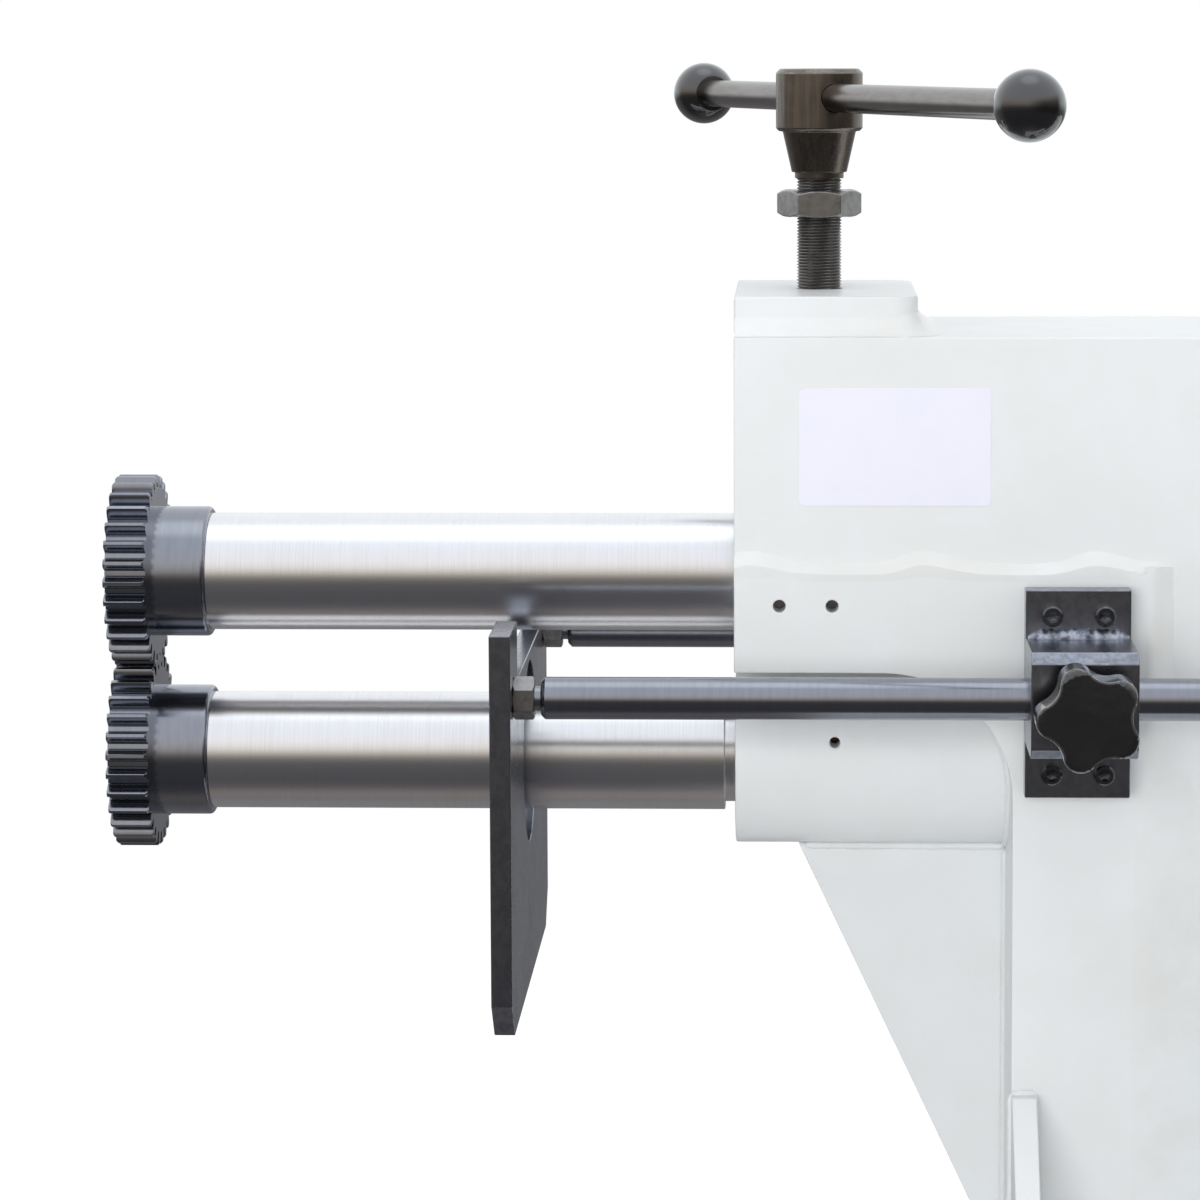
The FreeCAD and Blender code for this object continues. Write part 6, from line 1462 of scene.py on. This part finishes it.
@dataclass
class SocketScrews:
    """Socket head screws of one size, on the points of a CAD node's screws.

    Attributes:
        node: the CAD node that groups them.
        along: axis index of the screws, 0 for X and 1 for Y.
        length: shank length.
        seed: seed of their turns.
        shank: shank radius.
        head: head radius.
        height: head height.
        socket: hexagon's width across its flats.
    """

    node: str
    along: int
    length: float
    seed: int
    shank: float = 3.0 * MM
    head: float = 5.0 * MM
    height: float = 6.0 * MM
    socket: float = 5.0 * MM

    def build(self, fasteners: Recipe) -> None:
        """Builds the screws.

        Args:
            fasteners: the tree that puts a fastener on each point.
        """
        points, facing = [], []
        for low, high in Workshop.islands(self.node):
            middle = (low + high) / 2
            outward = -1.0 if middle[self.along] < 0 else 1.0
            outer = low if outward < 0 else high
            middle[self.along] = outer[self.along] - outward * self.height
            points.append(middle)
            facing.append([outward if axis == self.along else 0.0 for axis in range(3)])
        template = self._template()
        made = fasteners.run(
            f"{self.node}_placed", scattered(points, facing), SCREW_BLACK, Template=template,
            Seed=self.seed,
        )
        bpy.data.objects.remove(template)
        Workshop.hand_over(made, SCREW_BLACK, self.node)

    def _template(self) -> bpy.types.Object:
        """One screw along Z, with its head's underside at the origin.

        Returns:
            The screw, which is removed once it is copied.
        """
        edge, mouth = 0.8 * MM, 0.4 * MM
        floor = self.height * 0.36
        wide = self.head * 2
        rings = [
            Ring(-self.length, 0), Ring(-self.length, self.shank - mouth),
            Ring(mouth - self.length, self.shank), Ring(0, self.shank), Ring(0, self.head - mouth),
            Ring(mouth, self.head), Ring(self.height - edge, self.head),
            Ring(self.height, self.head - edge), Ring(self.height, wide, self.socket + mouth),
            Ring(self.height - mouth / 2, wide, self.socket), Ring(floor, wide, self.socket),
            Ring(floor - edge, 0),
        ]
        return Blank().turn(rings, Matrix(), 24).made(f"{self.node}_template", SCREW_BLACK, 28.0)


@dataclass
class Carriage:
    """Lift springs under the upper shaft's slide block.

    Attributes:
        wire: wire radius.
        turns: turns of each spring.
    """

    wire: float = 0.9 * MM
    turns: float = 7.0

    def build(self) -> None:
        """Builds the springs on their four places."""
        boxes = Workshop.islands("lift_springs")
        low, high = boxes[0]
        radius = (high.x - low.x) / 2 - self.wire
        points = [((a.x + b.x) / 2, (a.y + b.y) / 2, a.z + self.wire) for a, b in boxes]
        made = Recipes.springs().run(
            "lift_springs_wound", scattered(points), BRIGHT_STEEL, Radius=radius, Wire=self.wire,
            Height=high.z - low.z - 2 * self.wire, Turns=self.turns,
        )
        Workshop.smooth(made, 60.0)
        Workshop.hand_over(made, BRIGHT_STEEL, "lift_springs")


@dataclass
class Weldment:
    """What is welded, filled and stuck on the painted frame.

    Attributes:
        front: front face of the arm.
        column: column's front face.
        arm: half width over the side plates.
        cheek: half width over the cheek plates.
        cheek_top: top of the cheeks.
        cheek_rear: rear edge of the cheeks.
        rear: rear face of the body.
        base_top: top of the base plate.
        pad_rise: height of the filler on the nut pad's sides.
        bump_places: high places of the cheek seam, behind the arm's front.
        bump_height: height of those places.
        step: how far the cheeks stand out from the side plates.
        fade: height under which the filler behind the cheeks widens.
        film: blank film's front and rear behind the arm's front, and its bottom and top.
        film_thick: the film's thickness.
        throat: radius of the front web's arc.
        underside: underside of the arm, where the arc ends.
        bead: radius of the structural beads.
        overlap: how far a seam reaches into the plate that it lies on.
    """

    front: float = -300.0 * MM
    column: float = -166.5 * MM
    arm: float = 68.0 * MM
    cheek: float = 73.0 * MM
    cheek_top: float = 469.0 * MM
    cheek_rear: float = -101.0 * MM
    rear: float = 180.0 * MM
    base_top: float = 18.0 * MM
    pad_rise: float = 9.0 * MM
    bump_places: tuple[float, ...] = (7.0 * MM, 90.0 * MM, 172.0 * MM)
    bump_height: float = 4.5 * MM
    step: float = 5.0 * MM
    fade: float = 420.0 * MM
    film: tuple[float, float, float, float] = (31.0 * MM, 122.6 * MM, 501.0 * MM, 557.5 * MM)
    film_thick: float = 0.3 * MM
    throat: float = 62.0 * MM
    underside: float = 421.0 * MM
    bead: float = 2.1 * MM
    overlap: float = 0.5 * MM

    def build(self) -> None:
        """Builds the seams, the beads and the film."""
        self._add(Blank().sweep(self._pad_filler()).made("pad_filler", WELD_PAINT, 60.0))
        self._both_sides("cheek_seams", 140, self._cheek_seam)
        self._both_sides("cheek_edge_filler", 60, self._cheek_ramp)
        self._add(Blank().sweep(self._film()).made("blank_film", BLANK_FILM, 30.0), BLANK_FILM)
        self._add(Recipes.bead().run(
            "frame_weld_beads", wired(self._beads()), WELD_PAINT, Radius=self.bead,
            Ripple=3.2 * MM, Lump=1.1 * MM, Step=1.6 * MM,
        ))

    def _add(self, made: bpy.types.Object, finish: Finish = WELD_PAINT) -> None:
        """Hands over what lies on the arm."""
        Workshop.hand_over(made, finish, "side_plates", added=True)

    def _both_sides(
        self, name: str, count: int, section: Callable[[float, int], Sequence[Point]]
    ) -> None:
        """Builds a filled seam on each side of the arm.

        Args:
            name: the piece's name.
            count: steps along the seam.
            section: gives its points at a share of the seam, with Y away from the middle
                plane, for the side with this sign.
        """
        blank = Blank()
        for side in Side:
            rows = [section(step / count, side.sign) for step in range(count + 1)]
            blank.sweep([[(x, side.sign * y, z) for x, y, z in row] for row in rows])
        self._add(blank.made(name, WELD_PAINT, 40.0))

    def _pad_outline(self) -> list[tuple[float, float, float, float]]:
        """Places on the nut pad's foot and the way out from each, from front to front.

        Returns:
            X, Y and the outward direction's X and Y of each place.
        """
        low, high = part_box("top_pad")
        half, corner, step = high[1], 12.0 * MM, 1.5 * MM
        start, end = low[0] + 0.3 * MM, high[0] - corner
        count = round((end - start) / step)
        near = [(start + (end - start) * k / count, -half, 0.0, -1.0) for k in range(count)]
        turns = 14
        for k in range(turns + 1):
            angle = math.pi / 2 * (k / turns - 1)
            across, deep = math.cos(angle), math.sin(angle)
            near.append((end + corner * across, -half + corner + corner * deep, across, deep))
        reach = half - corner
        count = round(2 * reach / step)
        back = [(high[0], -reach + 2 * reach * k / count, 1.0, 0.0) for k in range(1, count)]
        return [*near, *back, *((x, -y, across, -deep) for x, y, across, deep in reversed(near))]

    def _pad_filler(self) -> Iterator[list[Point]]:
        """Filler from the nut pad's sides down to the arm's edges, rougher at its rear corners.

        Yields:
            Its sections, from front to front round the pad.
        """
        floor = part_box("top_pad")[0][2]
        limit = self.arm - 0.15 * MM
        profile = (
            (0.02, 1.0), (0.08, 0.75), (0.22, 0.48), (0.45, 0.24), (0.72, 0.08), (1.0, 0.01),
            (0.8, -0.1), (-0.2, -0.1),
        )
        for x, y, across, deep in self._pad_outline():
            rough = 0.6 * MM * noise.noise(Vector((x, y, 0.3)) * 90.0)
            rough += 0.5 * MM * abs(across) * noise.noise(Vector((x, y, 0.7)) * 330.0)
            wide = 5.0 * MM + 6.0 * MM * across + rough
            tall = self.pad_rise + rough * 1.5 + 2.5 * MM * across
            section = []
            for out, up in profile:
                side = max(-limit, min(limit, y + deep * out * wide))
                section.append((x + across * out * wide, side, floor + up * tall))
            yield [*section, (x - across * MM, y - deep * MM, floor + 0.98 * tall)]

    def _seam_line(self, behind: float) -> float:
        """Rise of the cheek seam's lower line at a place behind the arm's front.

        Args:
            behind: distance behind the arm's front.

        Returns:
            The rise there.
        """
        rise = 0.0
        for place in self.bump_places:
            width = 13.0 * MM if behind < place else 19.0 * MM
            rise = max(rise, math.exp(-(((behind - place) / width) ** 2)))
        return rise * self.bump_height

    def _cheek_seam(self, share: float, sign: int) -> list[Point]:
        """Section of the seam between a cheek's top and the side plate, with its high places.

        Args:
            share: share of the seam from the front.
            sign: side of the arm.

        Returns:
            Its points, with Y away from the middle plane.
        """
        length = self.cheek_rear + 8.0 * MM - self.front
        behind = length * share
        rise = self._seam_line(behind)
        rise += 0.25 * MM * noise.noise(Vector((behind, sign, 0.2)) * 60.0)
        low = self.cheek_top + rise
        tall = 4.4 * MM + 0.35 * rise
        x = self.front + 0.1 * MM + (length - 0.1 * MM) * share
        outer = self.cheek + 0.2 * MM - self.step * min(max(share * 12 - 11, 0.0), 1.0)
        depth = outer - self.arm
        foot = self.cheek_top - 6.0 * MM
        inside = self.arm - self.overlap
        return [
            (x, outer - 0.35 * MM, foot), (x, outer, low - 0.7 * MM), (x, outer - 0.04 * depth, low),
            (x, outer - 0.4 * depth, low + tall * 0.34), (x, outer - 0.75 * depth, low + tall * 0.7),
            (x, self.arm + 0.02 * MM, low + tall), (x, inside, low + tall), (x, inside, foot),
        ]

    def _cheek_ramp(self, share: float, sign: int) -> list[Point]:
        """Section of the filler behind a cheek's rear edge, from the base up.

        Args:
            share: share of the height from the base.
            sign: side of the arm.

        Returns:
            Its points, with Y away from the middle plane.
        """
        z = self.base_top + (self.cheek_top + 3.0 * MM - self.base_top) * share
        faded = min(max((self.fade - z) / 0.12, 0.0), 1.0)
        wide = 11.0 * MM + 24.0 * MM * faded**2 * (3 - 2 * faded)
        wide += 2.5 * MM * noise.noise(Vector((0.4, sign, z)) * 25.0)
        inside = self.arm - self.overlap
        profile = (
            (-0.3, self.cheek - 0.3 * MM), (-0.2, self.cheek + 0.1 * MM), (0.0, self.cheek + 0.15 * MM),
            (0.2, self.cheek - 0.5 * MM), (0.5, self.cheek - 2.5 * MM), (0.8, self.arm + 0.8 * MM),
            (1.0, self.arm + 0.03 * MM), (1.0, inside), (-0.3, inside),
        )
        return [(self.cheek_rear + out * wide, y, z) for out, y in profile]

    def _film(self) -> list[list[Point]]:
        """Sections of the blank film on the arm's near side, from its back outwards.

        Returns:
            The sections.
        """
        first, last, bottom, top = self.film
        corner = 3.0 * MM
        thick = self.film_thick
        outline = []
        for middle_x, middle_z, start in (
            (last - corner, bottom + corner, 1.5), (last - corner, top - corner, 0.0),
            (first + corner, top - corner, 0.5), (first + corner, bottom + corner, 1.0),
        ):
            for step in range(7):
                angle = math.pi * (start + step / 12)
                outline.append((self.front + middle_x, middle_z, math.cos(angle), math.sin(angle)))
        return [
            [(x + radius * across, y - self.arm, z + radius * up) for x, z, across, up in outline]
            for y, radius in ((0.1 * MM, corner), (-thick * 0.7, corner), (-thick, corner - 0.15 * MM))
        ]

    def _web_line(self, height: float) -> float:
        """X of the front web's outer face at a height, on its straight part and its arc.

        Args:
            height: height over the bench.

        Returns:
            X of the face there.
        """
        rise = min(height - self.underside + self.throat, self.throat)
        if rise <= 0:
            return self.column
        return self.column - self.throat + math.sqrt(self.throat**2 - rise**2)

    def _beads(self) -> list[list[Point]]:
        """Paths of the painted frame's weld beads.

        Returns:
            The points of each path.
        """
        tube_low, tube_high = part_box("lower_housing")
        axis, tube = (tube_low[2] + tube_high[2]) / 2, tube_high[1]
        rib_low, rib_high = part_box("throat_gusset")
        floor, column, rear = self.base_top, self.column, self.cheek_rear
        paths = []
        for side in Side:
            rib, base, cheek = (
                side.sign * y for y in (rib_high[1] + 0.4 * MM, self.arm, self.cheek)
            )
            paths += [
                [(rib_low[0] + 3 * MM, rib, rib_high[2] - MM), (column, rib, rib_high[2] - MM)],
                [(column, rib, rib_high[2] - 3 * MM), (column, rib, rib_low[2] + 2 * MM)],
                [(rear, base, floor), (self.rear, base, floor)],
                [(column, cheek, floor), (rear, cheek, floor)],
            ]
        paths.append([(column, -self.cheek, floor), (column, self.cheek, floor)])
        ring = []
        for step in range(49):
            angle = math.tau * (step / 48 + 0.5)
            height = axis + tube * math.cos(angle)
            ring.append((self._web_line(height), tube * math.sin(angle), height))
        paths.append(ring)
        for low, high in Workshop.islands("buttresses"):
            root = min(abs(low.y), abs(high.y)) * math.copysign(1.0, low.y + high.y)
            for x in (low.x, high.x):
                paths.append([(x, root, low.z + MM), (x, root, high.z)])
            paths.append([(low.x, root, high.z), (high.x, root, high.z)])
        return paths


@dataclass
class Clamps:
    """Clamp plates' screws and the bare weld above each clamp block.

    Attributes:
        bead: radius of the bare weld.
        sunk: the weld's middle below the block's top.
    """

    bead: float = 5.0 * MM
    sunk: float = 0.5 * MM

    def build(self) -> None:
        """Builds the screws of the clamps and of the gear case's cover, and the welds."""
        fasteners = Recipes.fasteners()
        SocketScrews("clamp_screws", along=1, length=24.0 * MM, seed=3).build(fasteners)
        SocketScrews("gear_cover_screws", along=0, length=16.0 * MM, seed=8).build(fasteners)
        self._welds()

    def _welds(self) -> None:
        """Bare weld between each block's top and its plate."""
        paths = []
        plates = Workshop.islands("clamp_plates")
        for plate, (low, high) in zip(plates, Workshop.islands("clamp_blocks")):
            face = max((corner.y for corner in plate), key=abs)
            height = high.z - self.sunk
            paths.append([(low.x + MM, face, height), (high.x - MM, face, height)])
        made = Recipes.bead().run(
            "clamp_bare_welds", wired(paths), RAW_WELD, Radius=self.bead, Ripple=4.4 * MM,
            Lump=1.4 * MM, Step=1.0 * MM,
        )
        Workshop.hand_over(made, RAW_WELD, "clamp_blocks", added=True)


@dataclass
class Studio:
    """Camera, lamps, floor and background.

    Attributes:
        eye: the camera's place.
        turn: its heading in degrees, from +Y towards -X.
        dip: how far it looks down, in degrees.
        roll: its turn about its own axis, in degrees.
        lens: focal length in millimetres on a 36 mm sensor.
        shift: sideways and upward shift of the frame, as shares of its side.
        floor_size: length of the floor's side.
        fill: plain light from all round.
        WALLS: the room that metal mirrors, by height, from its floor to its ceiling.
        LAMPS: name, place, target, width and height, and watts of each lamp.
    """

    WALLS = (
        (0.0, srgb(128, 122, 120)), (0.03, srgb(92, 88, 90)), (0.08, srgb(76, 76, 80)),
        (0.36, srgb(84, 84, 86)), (0.45, srgb(116, 110, 104)), (0.5, srgb(172, 162, 152)),
        (0.57, srgb(228, 222, 216)), (0.66, srgb(248, 245, 243)), (0.84, srgb(243, 246, 255)),
        (1.0, srgb(244, 249, 255)),
    )
    LAMPS = (
        ("overhead_softbox", (-0.2, -0.3, 2.6), (-0.1, 0.0, 0.4), (3.0, 2.6), 35.0),
        ("front_softbox", (-1.1, -3.0, 0.85), (-0.1, 0.0, 0.35), (2.4, 1.8), 56.0),
        ("side_softbox", (2.4, -1.2, 1.4), (0.0, 0.0, 0.3), (1.6, 1.8), 12.0),
        ("rear_softbox", (0.8, 2.8, 1.5), (0.0, 0.0, 0.3), (2.4, 1.8), 40.0),
    )

    eye: Point = (-0.2692, -1.9433, 0.7266)
    turn: float = 2.016
    dip: float = 5.610
    roll: float = -0.178
    lens: float = 118.51
    shift: tuple[float, float] = (-0.05, -0.15)
    floor_size: float = 40.0
    fill: float = 0.36

    def build(self) -> None:
        """Builds the studio."""
        self._camera()
        self._world()
        self._floor()
        for lamp in self.LAMPS:
            self._lamp(*lamp)
        bpy.context.scene.view_settings.view_transform = "Standard"

    def _camera(self) -> None:
        """Places the camera at the photograph's angle."""
        data = bpy.data.cameras.new("camera")
        data.sensor_width = 36.0
        data.lens = self.lens
        data.shift_x, data.shift_y = self.shift
        camera = Workshop.put("camera", data)
        camera.location = self.eye
        turned = Matrix.Rotation(math.radians(self.turn), 3, "Z")
        tilted = Matrix.Rotation(math.radians(90.0 - self.dip), 3, "X")
        rolled = Matrix.Rotation(math.radians(self.roll), 3, "Z")
        camera.rotation_euler = (turned @ tilted @ rolled).to_euler()
        bpy.context.scene.camera = camera

    def _world(self) -> None:
        """White behind the object, soft light on it, and a studio's graded walls in its metal."""
        world = bpy.data.worlds.new("studio")
        world.use_nodes = True
        bpy.context.scene.world = world
        graph = Graph(world.node_tree)
        world.node_tree.nodes.clear()
        seen = graph.node("ShaderNodeLightPath", output="Is Camera Ray")
        through = seen.beside("Is Transmission Ray")
        gloss = seen.beside("Is Glossy Ray")
        across, deep, high = graph.node("ShaderNodeTexCoord", output="Generated").parts()
        room = graph.node("ShaderNodeValToRGB", {0: high * 0.5 + 0.5}, stops=self.WALLS)
        level = high.size().ramp(0.1, 0.5)
        shade = 1 - across.ramp(-0.3, 0.7) * (1 - level) * 0.7
        behind = graph.mix(high.ramp(-0.2, 0.08), srgb(120, 120, 122), srgb(248, 252, 255))
        zenith = 1 + high.ramp(0.9, 1.0) * 0.55
        wall = graph.mix(deep.ramp(0.05, 0.45) * (1 - high.ramp(0.5, 0.9)), room.scaled(shade), behind)
        glossy = wall.scaled(zenith * 1.06)
        soft = graph.mix(high.ramp(-0.6, 0.6), srgb(255, 248, 241), srgb(249, 252, 255)).scaled(self.fill)
        colour = graph.mix((seen + through).clamped(), graph.mix(gloss, soft, glossy), WHITE)
        background = graph.node("ShaderNodeBackground", {"Color": colour, "Strength": 1.0})
        graph.end("ShaderNodeOutputWorld", background)

    def _floor(self) -> None:
        """Plain white floor that keeps the object's shadow."""
        material = bpy.data.materials.new("floor_white")
        material.use_nodes = True
        graph = Graph(material.node_tree)
        material.node_tree.nodes.clear()
        seen = graph.node("ShaderNodeLightPath", output="Is Camera Ray")
        gloss = seen.beside("Is Glossy Ray")
        place = graph.place()
        shade = graph.mix(graph.noise(place, scale=3.0), srgb(222, 222, 222), srgb(226, 226, 226))
        matt = graph.node("ShaderNodeBsdfDiffuse", {"Color": shade})
        lift = graph.node("ShaderNodeEmission", {"Color": WHITE, "Strength": 0.45})
        near = graph.node("ShaderNodeAddShader", {0: matt, 1: lift})
        far = graph.node("ShaderNodeEmission", {"Color": WHITE, "Strength": 1.0})
        blend = graph.node("ShaderNodeMixShader", {0: place.length().ramp(0.7, 1.5), 1: near, 2: far})
        lit = graph.node("ShaderNodeMixShader", {0: seen, 1: matt, 2: blend})
        clear = graph.node("ShaderNodeBsdfTransparent")
        both = graph.node("ShaderNodeMixShader", {0: gloss, 1: lit, 2: clear})
        graph.end("ShaderNodeOutputMaterial", both)
        mesh = bmesh.new()
        bmesh.ops.create_grid(mesh, x_segments=1, y_segments=1, size=self.floor_size / 2)
        Workshop.piece("floor", mesh, material)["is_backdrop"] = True

    @staticmethod
    def _lamp(name: str, place: Point, target: Point, size: tuple[float, float], power: float) -> None:
        """Adds one soft lamp that shows in no reflection.

        Args:
            name: the lamp's name.
            place: its middle.
            target: what it points at.
            size: its width and height.
            power: its power in watts.
        """
        data = bpy.data.lights.new(name, "AREA")
        data.shape = "RECTANGLE"
        data.size, data.size_y = size
        data.energy = power
        lamp = Workshop.put(name, data)
        lamp.visible_glossy = False
        lamp.location = place
        direction = Vector(target) - Vector(place)
        lamp.rotation_euler = direction.to_track_quat("-Z", "Y").to_euler()


def corners() -> list[list[float]]:
    """The shown object's lowest and highest corner as plain lists."""
    return [list(corner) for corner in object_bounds()]


def main() -> None:
    """Builds every sub-assembly in order."""
    logging.basicConfig(level=logging.INFO, format="%(name)s: %(message)s")
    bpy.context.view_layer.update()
    for assembly in (
        Studio(), MachinedCopies(), Weldment(), Spindles(), AdjustingScrew(), Clamps(), Carriage()
    ):
        assembly.build()


if __name__ == "__main__":
    main()
